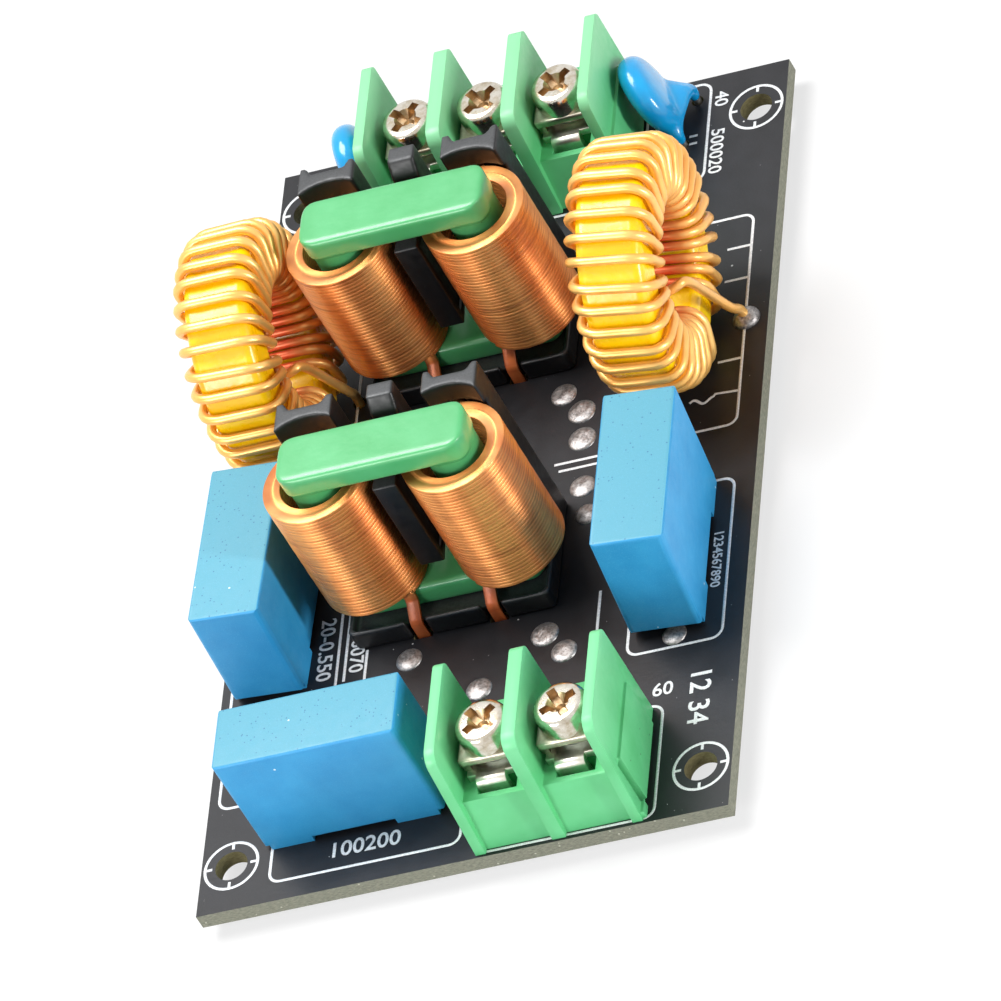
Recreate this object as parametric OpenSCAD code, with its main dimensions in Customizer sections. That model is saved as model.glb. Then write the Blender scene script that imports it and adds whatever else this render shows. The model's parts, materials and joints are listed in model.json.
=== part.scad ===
// Line filter board: two edge-wound chokes, two ring inductors, three box
// capacitors, two disc capacitors and two screw terminal blocks on one board.
// Millimetres, +Z up, +Y the long side. The centre of the board is on X = Y = 0
// and the trimmed lead ends under the board rest on Z = 0.

/* [Board] */
// Width of the board across the short side
board_w = 52; // [50.5:0.5:60]
// Length of the board along the long side
board_l = 90; // [84:0.5:110]
// Thickness of the board
board_t = 1.6; // [1:0.2:2.4]
// Bore of the four mounting holes, clearance for an M3 screw
mount_bore = 3.2; // [2.7:0.1:4.3]
// Mounting hole centre, in from each long side
mount_in_x = 3; // [2.5:0.1:5]
// Mounting hole centre, in from each short side
mount_in_y = 5.2; // [3:0.1:8]
// How far the trimmed leads stand out under the board
lead_tail = 1.5; // [0.8:0.1:3]

/* [Terminal blocks] */
// Spacing of neighbouring poles
pole_pitch = 7.62; // [7.5:0.01:10.16]
// Depth of a block from front to back
block_d = 13.0; // [11:0.1:16]
// Height of the fins over the board
fin_h = 12.2; // [10:0.1:16]
// Thickness of a fin between two poles
fin_mid_t = 1.4; // [1:0.1:2]
// Thickness of the fin at either end
fin_end_t = 1.05; // [0.8:0.05:1.6]
// Height of the floor the contacts lie on
floor_h = 5.7; // [4.5:0.1:7]
// Diameter of a terminal screw head
screw_head_d = 5.2; // [4.5:0.1:6]
// Diameter of a terminal screw shank
screw_shank_d = 2.9; // [2.4:0.1:3.4]

/* [Chokes] */
// Distance between the two coil axes of a choke
coil_pitch = 13.6; // [12.6:0.1:15]
// Outer diameter of an edge-wound coil
coil_d = 10.4; // [9:0.1:11.2]
// Width of the flat wire standing on edge
flat_w = 1.7; // [1:0.1:2]
// Turns in each coil
coil_turns = 34; // [20:1:44]
// Length of a coil along its axis
coil_l = 14.3; // [12:0.1:16]
// Length of the core bars over the legs
core_w = 18.6; // [17:0.1:21]
// Depth of the core bars
core_d = 5.7; // [5:0.1:7]
// Thickness of the core bars
core_bar_t = 2.5; // [2:0.1:4]
// Diameter of the core legs inside the coils
core_leg_d = 5.2; // [4.6:0.1:6]

/* [Ring inductors] */
// Outer diameter of a ring core
ring_od = 21.8; // [18:0.1:24]
// Inner diameter of a ring core
ring_id = 12.8; // [11:0.1:14.5]
// Thickness of a ring core along its axis
ring_t = 6.3; // [5:0.1:8]
// Diameter of the round winding wire
wire_d = 1.0; // [0.7:0.05:1.1]
// Turns on each ring
ring_turns = 30; // [16:1:32]

/* [Box capacitors] */
// Length of a box capacitor
box_l = 18; // [17:0.1:20]
// Width of a box capacitor
box_w = 7; // [6:0.1:8]
// Height of the front and left box capacitors without their feet
box_h = 11.8; // [9:0.1:14]
// Height of the right box capacitor without its feet
right_box_h = 12.6; // [9:0.1:14]
// Spacing of the two leads of a box capacitor
box_lead_pitch = 15; // [12.5:0.1:15]
// Lean of the left box capacitor toward the middle of the board
left_box_lean = 3; // [0:0.5:6]
// Lean of the right box capacitor away from the middle of the board
right_box_lean = 6; // [0:0.5:8]

/* [Disc capacitors] */
// Diameter of a disc capacitor body
disc_d = 8.3; // [7:0.1:10]
// Thickness of a disc capacitor body at its middle
disc_t = 3.2; // [2.6:0.1:4.5]
// Spacing of the two leads of a disc capacitor
disc_lead_pitch = 5.4; // [5:0.1:7.5]
// Lean of the left disc capacitor toward the left
left_disc_lean = 4; // [0:1:30]
// Lean of the right disc capacitor toward the left
right_disc_lean = 26; // [5:1:28]
// Turn of the disc bodies away from the long side of the board
disc_turn = 14; // [0:1:20]
// Turn of the line through their leads, the other way
disc_lead_turn = 11; // [0:1:15]

/* [Leads] */
// Diameter of the round component leads
lead_d = 0.8; // [0.5:0.05:1]
// Free play round every lead in its board hole
lead_play = 0.4; // [0.2:0.05:0.6]

/* [Hidden] */
$fn = 48;
eps = 0.01;
fit_gap = 0.1;
z_board = lead_tail;
z_top = lead_tail + board_t;
hole_over = 1;
wire_hole = wire_d + lead_play;
lead_hole = lead_d + lead_play;
mount_x = board_w / 2 - mount_in_x;
mount_y = board_l / 2 - mount_in_y;

// Terminal blocks, front left corner of each block on the board
out_left = 27.55;
out_front = 0.2;
in_left = 13.45;
in_back = 0.1;
out_x = -board_w / 2 + out_left;
out_y = -board_l / 2 + out_front;
in_x = -board_w / 2 + in_left;
in_y = board_l / 2 - in_back - block_d;
out_poles = 2;
in_poles = 3;
bay_x0 = (fin_end_t + fin_mid_t) / 2 + (pole_pitch - fin_mid_t) / 2;
wall_slope = 1.5;
fin_front_r = 1.5;
fin_back_r = 0.9;
contact_t = 0.8;
contact_w = 5.4;
contact_d = 5.6;
clamp_t = 0.8;
clamp_lift = 1.1;
clamp_lip = 0.7;
clamp_w = 5.8;
clamp_d = 5.4;
tab_w = 2.9;
tab_t = 0.8;
tab_drop = 2.2;
slot_w = 3.8;
slot_d = 2.0;
slot_play = 0.3;
slot_mid = 3.15;
tab_shift = 0.4;
fold_r = 0.7;
pin_w = 1.1;
pin_hole = pin_w * sqrt(2) + lead_play;
front_in = 0.5;
back_in = 0.25;
panel_in = 2.15;
panel_t = 0.35;
panel_z = 0.4;
groove_w = 0.5;
groove_deep = 0.6;
ledge_h = 0.9;
ledge_in = 0.3;
clamp_corner = 0.5;
clamp_edge = 0.25;
lip_in = 0.6;
screw_head_h = 2.2;
screw_side_h = 1.3;
screw_l = 3.2;
screw_play = 0.4;
screw_y = block_d / 2;
recess_w = 0.85;
recess_l = 3.9;
recess_h = 1.0;
recess_turn = 35;

// Chokes: how far the middle of each stands in from the left and the front
front_choke_left = 23.4;
front_choke_front = 33;
rear_choke_left = 22.9;
rear_choke_front = 61.9;
front_choke = [-board_w / 2 + front_choke_left, -board_l / 2 + front_choke_front];
rear_choke = [-board_w / 2 + rear_choke_left, -board_l / 2 + rear_choke_front];
base_t = 1.4;
base_w = 20;
base_front = 5.3;
base_back = 7.4;
rim_t = 0.5;
rim_h = 2.3;
core_z = z_top + base_t;
coil_z = core_z + core_bar_t;
core_h = coil_z + coil_l + 0.5 + core_bar_t - core_z;
bar_round = 1.9;
bar_edge = 0.55;
post_w = 5.6;
post_h = 20.9;
post_y = 7.3;
post_front = 3.9;
saddle_play = 0.25;
seat_top = coil_z - z_top + coil_l + saddle_play;
cap_over = 0.1;
flat_t = coil_l / coil_turns;
groove = 0.14;
divider_t = 1.6;
divider_play = 0.2;
tongue = 0.8;
tongue_w = 1.1;
divider_z = coil_z;
divider_h = 13.4;
divider_front = 2.4;
panel_dent = 0.25;
panel_edge = 0.9;
leg_sink = 1;
base_corner = 0.6;
seat_z = base_t + 0.8;
post_x = 7.2;
notch_deep = 0.85;
notch_w = 3.3;
notch_slant = 0.45;
notch_z = 3;
mid_post_w = 2.7;
mid_post_x = 0.3;
mid_post_y = 4.6;
mid_post_cut = 1.5;

// Flat strips that end the choke coils, measured from the middle of the choke
strip_w = 1.4;
strip_t = 0.45;
strip_play = 0.25;
strip_joint = 0.7;
front_strip_x = [-3.4, 4.2];
front_strip_y = -(core_d / 2 + 0.35);
front_strip_foot = -4.9;
front_bend_top = z_top + rim_h + 0.8;
front_bend_low = z_top + base_t + 0.3;
bend_shift = 0.3;
back_strip_y = coil_d / 2 + 0.45;

// Ring inductors: [x, y, lean, turn about Z, extra reach of the right lead]
left_ring_left = 6.4;
left_ring_front = 56.2;
right_ring_right = 7.1;
right_ring_front = 55.8;
right_ring_reach = 0.55;
left_ring = [-board_w / 2 + left_ring_left, -board_l / 2 + left_ring_front, 0.3, 2.2, 0];
right_ring = [board_w / 2 - right_ring_right, -board_l / 2 + right_ring_front, 5.5, -2.7, right_ring_reach];
wire_play = 0.2;
wire_sides = 6;
wind_r = wire_d / 2;
wind_out = ring_od / 2 + wire_play + wind_r;
wind_in = ring_id / 2 - wire_play - wind_r;
wind_half = ring_t / 2 + wire_play + wind_r;
wind_corner = 1.3;
ring_z = z_top + wind_out + wind_r + 0.15;
ring_round = 0.9;
wind_span = 344;
wind_start = -98;
ring_lead_out = wind_half + 0.55;
ring_foot_y = 2.3;
foot_pad_d = 2.7;
foot_pad_h = 0.9;
foot_bend_z = z_top + foot_pad_h + fit_gap;
foot_pull = 0.55;
// Section loop of one turn: [along the axis, radius], from the left face inward
c45 = wind_corner * (1 - cos(45));
turn_loop = [
  [-wind_half, (wind_in + wind_out) / 2],
  [-wind_half, wind_in + wind_corner], [-wind_half + c45, wind_in + c45], [-wind_half + wind_corner, wind_in],
  [wind_half - wind_corner, wind_in], [wind_half - c45, wind_in + c45], [wind_half, wind_in + wind_corner],
  [wind_half, (wind_in + wind_out) / 2],
  [wind_half, wind_out - wind_corner], [wind_half - c45, wind_out - c45], [wind_half - wind_corner, wind_out],
  [-wind_half + wind_corner, wind_out], [-wind_half + c45, wind_out - c45],
  [-wind_half, wind_out - wind_corner]];
loop_n = len(turn_loop);
half_loop = 7;

// Box capacitors: [x, y] of the middle of the foot print
front_box_left = 6.32;
front_box_front = 6.08;
left_box_left = 1.9;
left_box_front = 24.06;
left_box_turn = 88;
right_box_right = 3.8;
right_box_front = 21.5;
right_box_turn = 90;
front_box = [-board_w / 2 + front_box_left + box_l / 2, -board_l / 2 + front_box_front + box_w / 2];
left_box = [-board_w / 2 + left_box_left + box_w / 2, -board_l / 2 + left_box_front + box_l / 2];
right_box = [board_w / 2 - right_box_right - box_w / 2, -board_l / 2 + right_box_front + box_l / 2];
foot_h = 0.4;
foot_l = 4.2;
foot_w = 0.9;
box_edge = 0.4;
fill_in = 0.3;
box_wall = 0.6;
fill_deep = 2.4;
box_round = 0.7;

// Disc capacitors: [x, y, lean], x and y between the two leads, on either side of the input block
left_disc_gap = 2.65;
left_disc_back = 5.5;
right_disc_gap = 5;
right_disc_back = 5.33;
left_disc = [in_x - left_disc_gap, board_l / 2 - left_disc_back, left_disc_lean];
right_disc = [in_x + block_w(in_poles) + right_disc_gap, board_l / 2 - right_disc_back, right_disc_lean];
skirt_z = 0.75;
skirt_r = 1.6;
skirt_l = 3;
lead_sink = 1.2;

// Round solder pads on top: [x, y, diameter], from the left front corner
box_pad_right = 6.7;
pads = [[31.9, 53.7, 2.6], [33.9, 51.1, 2.8], [34.2, 47.7, 2.8], [34.7, 41.8, 2.6],
        [35.4, 38.3, 2.4], [32.3, 24.8, 2.8], [34.4, 22.3, 2.6], [18.8, 25.3, 2.6],
        [board_w - box_pad_right, 21.4, 2.4], [26.2, 19.9, 2.6]];
pad_h = 0.35;
joint_z = 0.4;
joint_h = lead_tail - joint_z;

function add(a, b) = [for (i = [0:2]) a[i] + b[i]];
function sub(a, b) = [for (i = [0:2]) a[i] - b[i]];
function times(a, s) = [for (v = a) v * s];
function unit(a) = times(a, 1 / norm(a));
function dotp(a, b) = a[0] * b[0] + a[1] * b[1] + a[2] * b[2];
function crossed(a, b) = unit(cross(a, b));

// Where each lead passes the board: [x, y, hole diameter]
function box_leads_xy(p, turn) =
  [for (s = [-1, 1]) [p[0] + s * cos(turn) * box_lead_pitch / 2,
                      p[1] + s * sin(turn) * box_lead_pitch / 2, lead_hole]];
function disc_leads_xy(p) =
  [for (s = [-1, 1]) [p[0] + s * sin(disc_lead_turn) * disc_lead_pitch / 2,
                      p[1] + s * cos(disc_lead_turn) * disc_lead_pitch / 2, lead_hole]];
function block_w(n) = n * pole_pitch + fin_end_t;
function pole_x(i) = bay_x0 + i * pole_pitch;
function pin_y(y0) = y0 + block_d - slot_mid;
function block_pins_xy(x0, y0, n) =
  [for (i = [0:n - 1]) [x0 + pole_x(i) - tab_shift, pin_y(y0), pin_hole]];
function ring_leads_xy(r) =
  [[r[0] - ring_lead_out - sin(r[2]) * (wind_in + wind_out) / 2, r[1] - ring_foot_y, wire_hole],
   [r[0] + ring_lead_out + r[4], r[1] + ring_foot_y, wire_hole]];
round_holes = concat(
  box_leads_xy(front_box, 0), box_leads_xy(left_box, left_box_turn),
  box_leads_xy(right_box, right_box_turn),
  disc_leads_xy(left_disc), disc_leads_xy(right_disc),
  block_pins_xy(out_x, out_y, out_poles), block_pins_xy(in_x, in_y, in_poles),
  ring_leads_xy(left_ring), ring_leads_xy(right_ring));

// Where each flat choke lead passes the board, from the middle of the choke
choke_slots = [for (i = [0:1]) [front_strip_x[i], front_strip_foot],
               for (s = [-1, 1]) [s * coil_pitch / 2, back_strip_y]];

// Shared shapes

// Outline of a rectangle with round corners, about its middle
module rounded_rect(w, d, r) {
  union() {
    translate([-w / 2 + r, -d / 2]) square([w - 2 * r, d]);
    translate([-w / 2, -d / 2 + r]) square([w, d - 2 * r]);
    for (x = [-1, 1])
      for (y = [-1, 1])
        translate([x * (w / 2 - r), y * (d / 2 - r)]) circle(r = r);
  }
}

// A block with all its edges rounded: three such outlines crossed
module rounded_block(w, d, h, corner, edge) {
  intersection() {
    linear_extrude(height = h) rounded_rect(w, d, corner);
    translate([0, d / 2, h / 2])
      rotate([90, 0, 0]) linear_extrude(height = d) rounded_rect(w, h, edge);
    translate([-w / 2, 0, h / 2])
      rotate([90, 0, 90]) linear_extrude(height = w) rounded_rect(d, h, edge);
  }
}

// A straight round lead from the underside of the board up to a height
module lead_pin(x, y, up, d = lead_d) {
  translate([x, y, 0]) cylinder(h = z_top + up, d = d);
}

module strip_slot(p, h) {
  w = strip_w + 2 * strip_play;
  d = strip_t + 2 * strip_play;
  translate([p[0] - w / 2, p[1] - d / 2, 0]) cube([w, d, h]);
}

// Board

module circuit_board() {
  color([0.09, 0.09, 0.1])
  translate([0, 0, z_board])
  difference() {
    translate([-board_w / 2, -board_l / 2, 0]) cube([board_w, board_l, board_t]);
    for (x = [-1, 1])
      for (y = [-1, 1])
        translate([x * mount_x, y * mount_y, -hole_over])
          cylinder(h = board_t + 2 * hole_over, d = mount_bore);
    for (p = round_holes)
      translate([p[0], p[1], -hole_over]) cylinder(h = board_t + 2 * hole_over, d = p[2], $fn = 24);
    for (c = [front_choke, rear_choke])
      for (p = choke_slots)
        translate([c[0], c[1], -hole_over]) strip_slot(p, board_t + 2 * hole_over);
  }
}

// Terminal blocks

// Side outline of a fin, wire side to the left: sloping front, round top corners, upright back
module fin_outline() {
  slope = atan2(wall_slope, fin_h);
  r = fin_front_r;
  x = wall_slope * (fin_h - r) / fin_h + r / cos(slope);
  union() {
    polygon([[0, 0], [x - r * cos(slope), fin_h - r + r * sin(slope)], [x, fin_h],
             [block_d - fin_back_r, fin_h], [block_d, fin_h - fin_back_r], [block_d, 0]]);
    translate([x, fin_h - r]) circle(r = r);
    translate([block_d - fin_back_r, fin_h - fin_back_r]) circle(r = fin_back_r);
  }
}

// Side outline of the body between the fins: sloping wire side, upright back
module body_outline() {
  polygon([[front_in, 0], [wall_slope, floor_h], [block_d - back_in, floor_h], [block_d - back_in, 0]]);
}

// An outline in the YZ plane drawn out along +X
module side_extrude(t) {
  rotate([90, 0, 90]) linear_extrude(height = t) children();
}

module terminal_housing(n) {
  w = block_w(n);
  difference() {
    union() {
      side_extrude(w) body_outline();
      for (i = [0:n]) {
        t = (i == 0 || i == n) ? fin_end_t : fin_mid_t;
        x = i * pole_pitch + fin_end_t / 2 - t / 2;
        translate([x, 0, 0]) side_extrude(t) fin_outline();
      }
      // raised panel on the right end, between two upright joining grooves
      translate([w - eps, panel_in, panel_z])
        cube([panel_t + eps, block_d - 2 * panel_in, floor_h + panel_z]);
      translate([w - eps, ledge_in, 0])
        cube([panel_t + eps, panel_in - groove_w - ledge_in, ledge_h]);
    }
    for (i = [0:n - 1]) translate([pole_x(i), 0, 0]) {
      // slots that the folded contact ends drop into, the back one open to the board
      translate([-slot_w / 2, slot_mid - slot_d / 2, floor_h - tab_drop - slot_play])
        cube([slot_w, slot_d, tab_drop + slot_play + 1]);
      translate([-slot_w / 2, block_d - slot_mid - slot_d / 2, -hole_over])
        cube([slot_w, slot_d, floor_h + 2 * hole_over]);
      translate([0, screw_y, floor_h - screw_l - screw_play])
        cylinder(h = screw_l + screw_play + 1, d = screw_shank_d + screw_play);
    }
    // undercut behind each joining groove
    for (y = [panel_in - groove_w, block_d - panel_in])
      translate([w - groove_deep, y, -eps]) cube([groove_deep + panel_t + 1, groove_w, floor_h + panel_z]);
  }
}

// One contact: a plate on the floor, a folded front end and a solder pin at the back
module contact() {
  up = z_top + floor_h;
  difference() {
    union() {
      translate([-contact_w / 2, (block_d - contact_d) / 2, up])
        cube([contact_w, contact_d, contact_t]);
      for (s = [-1, 1])
        translate([0, screw_y, up]) mirror([0, s > 0 ? 1 : 0, 0])
          translate([-tab_w / 2 - tab_shift, 0, 0]) side_extrude(tab_w) fold_outline();
      translate([-tab_shift - pin_w / 2, pin_y(0) - pin_w / 2, 0]) cube([pin_w, pin_w, up]);
    }
    translate([0, screw_y, up - 1]) cylinder(h = contact_t + 2, d = screw_shank_d + screw_play);
  }
}

// Side outline of a folded contact end, reaching from the plate over and down
module fold_outline() {
  reach = screw_y - slot_mid + tab_t / 2;
  r = fold_r;
  difference() {
    union() {
      translate([-reach + r, contact_t - r]) circle(r = r);
      translate([-reach + r, 0]) square([reach - contact_d / 2 - r + 0.4, contact_t]);
      translate([-reach, -tab_drop]) square([tab_t, tab_drop + contact_t - r]);
    }
    translate([-reach + tab_t, -tab_drop - 1]) square([reach, tab_drop + 1]);
  }
}

// Captive wire clamp: a square plate with two lips bent down onto the contact
module clamp_plate() {
  translate([0, screw_y, z_top + floor_h + contact_t])
  difference() {
    union() {
      translate([0, 0, clamp_lift]) rounded_block(clamp_w, clamp_d, clamp_t, clamp_corner, clamp_edge);
      for (s = [-1, 1])
        translate([s * (clamp_w - clamp_lip) / 2 - clamp_lip / 2, -clamp_d / 2 + lip_in, 0])
          cube([clamp_lip, clamp_d - 2 * lip_in, clamp_lift + clamp_t / 2]);
    }
    translate([0, 0, -1]) cylinder(h = clamp_lift + clamp_t + 2, d = screw_shank_d + screw_play);
  }
}

// Domed screw with a cross recess, seated on the clamp and reaching into the housing
module terminal_screw() {
  stack = contact_t + clamp_lift + clamp_t;
  seat = z_top + floor_h + stack;
  dome_h = screw_head_h - screw_side_h;
  dome_r = (pow(screw_head_d / 2, 2) + pow(dome_h, 2)) / (2 * dome_h);
  translate([0, screw_y, seat])
  difference() {
    union() {
      intersection() {
        cylinder(h = screw_head_h, d = screw_head_d);
        translate([0, 0, screw_head_h - dome_r]) sphere(r = dome_r, $fn = 96);
      }
      translate([0, 0, -screw_l - stack]) cylinder(h = screw_l + stack + eps, d = screw_shank_d);
    }
    for (a = [0, 90]) rotate([0, 0, recess_turn + a])
      translate([-recess_l / 2, -recess_w / 2, screw_head_h - recess_h])
        cube([recess_l, recess_w, recess_h + 1]);
  }
}

// One copy for each pole of a block
module each_pole(x0, y0, n) {
  for (i = [0:n - 1]) translate([x0 + pole_x(i), y0, 0]) children();
}

module output_terminal_housing() {
  color([0.35, 0.8, 0.5]) translate([out_x, out_y, z_top]) terminal_housing(out_poles);
}
module output_terminal_contacts() {
  color([0.78, 0.77, 0.72]) each_pole(out_x, out_y, out_poles) contact();
}
module output_terminal_clamps() {
  color([0.7, 0.68, 0.62]) each_pole(out_x, out_y, out_poles) clamp_plate();
}
module output_terminal_screws() {
  color([0.82, 0.8, 0.76]) each_pole(out_x, out_y, out_poles) terminal_screw();
}
module input_terminal_housing() {
  color([0.35, 0.8, 0.5]) translate([in_x, in_y, z_top]) terminal_housing(in_poles);
}
module input_terminal_contacts() {
  color([0.78, 0.77, 0.72]) each_pole(in_x, in_y, in_poles) contact();
}
module input_terminal_clamps() {
  color([0.7, 0.68, 0.62]) each_pole(in_x, in_y, in_poles) clamp_plate();
}
module input_terminal_screws() {
  color([0.82, 0.8, 0.76]) each_pole(in_x, in_y, in_poles) terminal_screw();
}

// Chokes

// Closed ring core standing upright: two bars and two round legs
module choke_core() {
  color([0.3, 0.72, 0.45])
  union() {
    for (z = [core_z, core_z + core_h - core_bar_t])
      translate([0, 0, z]) rounded_block(core_w, core_d, core_bar_t, bar_round, bar_edge);
    for (s = [-1, 1])
      translate([s * coil_pitch / 2, 0, core_z + leg_sink])
        cylinder(h = core_h - 2 * leg_sink, d = core_leg_d);
  }
}

// One coil of flat wire on edge, with the strip leads at its two ends
module choke_coil(side) {
  cx = side * coil_pitch / 2;
  fx = front_strip_x[side < 0 ? 0 : 1];
  ro = coil_d / 2;
  ri = ro - flat_w;
  color([0.8, 0.45, 0.2]) {
    union() {
      translate([cx, 0, coil_z]) rotate_extrude()
        polygon(concat(
          [[ri, 0]],
          [for (i = [0:coil_turns - 1]) each [
            [ro - groove, i * flat_t], [ro, i * flat_t + groove], [ro, (i + 1) * flat_t - groove]]],
          [[ro - groove, coil_l], [ri, coil_l]]));
      translate([fx - strip_w / 2, 0, 0]) side_extrude(strip_w) front_strip_outline();
      translate([cx - strip_w / 2, 0, 0]) side_extrude(strip_w) back_strip_outline();
    }
  }
}

// Side outline of the front strip: down past the core bar, out over the base and through the board
module front_strip_outline() {
  a = front_strip_y;
  b = front_strip_foot;
  h = strip_t / 2;
  top = coil_z + 2 * strip_t;
  polygon([[a + h, top], [a - h, top], [a - h, front_bend_top], [b - h, front_bend_low],
           [b - h, 0], [b + h, 0], [b + h, front_bend_low - bend_shift],
           [a + h, front_bend_top - bend_shift]]);
}

// Side outline of the back strip: out over the coil's top turn and down behind it
module back_strip_outline() {
  a = back_strip_y;
  h = strip_t / 2;
  top = coil_z + coil_l;
  root = coil_d / 2 - flat_w * 0.7;
  cut = strip_t / 3;
  polygon([[root, top - strip_t], [a - h, top - strip_t], [a - h, 0], [a + h, 0],
           [a + h, top - cut], [a + h - cut, top], [root, top]]);
}

// Base plate with a low rim, two saddle posts and a middle post, moulded in one
module choke_frame() {
  depth = base_front + base_back;
  mid_y = (base_back - base_front) / 2;
  color([0.12, 0.12, 0.13])
  translate([0, 0, z_top])
  difference() {
    union() {
      translate([0, mid_y, 0])
        linear_extrude(height = base_t) rounded_rect(base_w, depth, base_corner);
      difference() {
        translate([0, mid_y, 0])
          linear_extrude(height = rim_h) rounded_rect(base_w, depth, base_corner);
        translate([-base_w / 2 + rim_t, -base_front + rim_t, -1])
          cube([base_w - 2 * rim_t, depth + 2, rim_h + 2]);
      }
      for (s = [-1, 1])
        translate([s * post_x - post_w / 2, post_front, 0])
          cube([post_w, post_y - post_front, post_h]);
      translate([mid_post_x - mid_post_w / 2, 0, 0]) side_extrude(mid_post_w) mid_post_outline();
    }
    // seats that the coils lie back in, and the channels their end strips run down
    for (s = [-1, 1]) translate([s * coil_pitch / 2, 0, 0]) {
      translate([0, 0, seat_z])
        cylinder(h = seat_top - seat_z, r = coil_d / 2 + saddle_play, $fn = 96);
      translate([-strip_w / 2 - strip_play, 0, seat_z])
        cube([strip_w + 2 * strip_play, back_strip_y + strip_t / 2 + strip_play, seat_top - seat_z]);
      translate([0, 0, seat_top - eps])
        cylinder(h = post_h, r = coil_d / 2 - cap_over, $fn = 96);
    }
    for (s = [-1, 1])
      translate([s * post_x, post_y, notch_z]) linear_extrude(height = post_h) notch_outline();
    for (p = choke_slots) translate([0, 0, -hole_over]) strip_slot(p, rim_h + 2 * hole_over);
    for (x = front_strip_x)
      translate([x - strip_w / 2 - strip_play, -base_front - 1, base_t])
        cube([strip_w + 2 * strip_play, 1 + 2 * rim_t, rim_h + 1]);
    translate([-tongue_w / 2, mid_post_y - eps, divider_z - z_top])
      cube([tongue_w, tongue + divider_play, divider_h + divider_play]);
  }
}

// Outline of the notch down the back of a post, wider at its mouth
module notch_outline() {
  a = notch_w / 2;
  b = a + notch_slant;
  polygon([[-a, -notch_deep], [a, -notch_deep], [b, 0], [b, 1], [-b, 1], [-b, 0]]);
}

module mid_post_outline() {
  polygon([[mid_post_y, 0], [mid_post_y, post_h - mid_post_cut],
           [mid_post_y + mid_post_cut * 0.66, post_h], [post_y, post_h], [post_y, 0]]);
}

// Insulating plate between the two coils, its tongue held in the middle post
module choke_divider() {
  color([0.13, 0.13, 0.14])
  translate([0, 0, divider_z]) {
    difference() {
      union() {
        translate([-divider_t / 2, -divider_front, 0])
          cube([divider_t, divider_front + mid_post_y - divider_play, divider_h]);
        translate([-tongue_w / 2 + divider_play, 0, 0])
          cube([tongue_w - 2 * divider_play, mid_post_y + tongue, divider_h]);
      }
      for (s = [-1, 1])
        translate([s * divider_t / 2 - panel_dent, -divider_front + panel_edge, panel_edge])
          cube([2 * panel_dent, divider_front + 1, divider_h - 2 * panel_edge]);
    }
  }
}

module at_choke(c) {
  translate([c[0], c[1], 0]) children();
}
module front_choke_core() { at_choke(front_choke) choke_core(); }
module front_choke_coil_left() { at_choke(front_choke) choke_coil(-1); }
module front_choke_coil_right() { at_choke(front_choke) choke_coil(1); }
module front_choke_frame() { at_choke(front_choke) choke_frame(); }
module front_choke_divider() { at_choke(front_choke) choke_divider(); }
module rear_choke_core() { at_choke(rear_choke) choke_core(); }
module rear_choke_coil_left() { at_choke(rear_choke) choke_coil(-1); }
module rear_choke_coil_right() { at_choke(rear_choke) choke_coil(1); }
module rear_choke_frame() { at_choke(rear_choke) choke_frame(); }
module rear_choke_divider() { at_choke(rear_choke) choke_divider(); }

// Ring inductors

module at_ring(r) {
  translate([r[0], r[1], ring_z]) rotate([0, 0, r[3]]) rotate([0, r[2], 0]) children();
}

module ring_core() {
  color([0.95, 0.8, 0.12])
  rotate([0, 90, 0]) rotate_extrude($fn = 96)
    translate([(ring_od + ring_id) / 4, 0]) rounded_rect((ring_od - ring_id) / 2, ring_t, ring_round);
}

// Uneven spacing of the turns, as wound by hand
function wobble(k) = 0.16 * sin(k * 137) + 0.12 * sin(k * 61 + 40);
function turn_angle(k) = wind_start - wind_span * k / (ring_turns + 0.5);

// A point of the winding on its ring, then where that lies on the board
function wind_point(i) =
  let (k = floor(i / loop_n), j = i - k * loop_n, q = turn_loop[j], u = k + j / loop_n,
       a = turn_angle(u + wobble(k) * sin(180 * j / loop_n)))
  [q[0], q[1] * cos(a), q[1] * sin(a)];
function lean_point(p, a) = [p[0] * cos(a) + p[2] * sin(a), p[1], -p[0] * sin(a) + p[2] * cos(a)];
function turn_point(p, a) = [p[0] * cos(a) - p[1] * sin(a), p[0] * sin(a) + p[1] * cos(a), p[2]];
function ring_point(p, r) = add(turn_point(lean_point(p, r[2]), r[3]), [r[0], r[1], ring_z]);

function foot_point(f, z) = [f[0], f[1], z];
function toward(p, f) = add(times(p, 1 - foot_pull), times(foot_point(f, foot_bend_z + 0.6), foot_pull));

// Whole wire of a ring: up through the board, round the ring turn by turn and down again
function wind_path(r) =
  let (feet = ring_leads_xy(r),
       body = [for (i = [0:ring_turns * loop_n + half_loop]) ring_point(wind_point(i), r)])
  concat(
    [foot_point(feet[0], 0), foot_point(feet[0], foot_bend_z), toward(body[0], feet[0])],
    body,
    [toward(body[len(body) - 1], feet[1]), foot_point(feet[1], foot_bend_z), foot_point(feet[1], 0)]);

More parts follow.
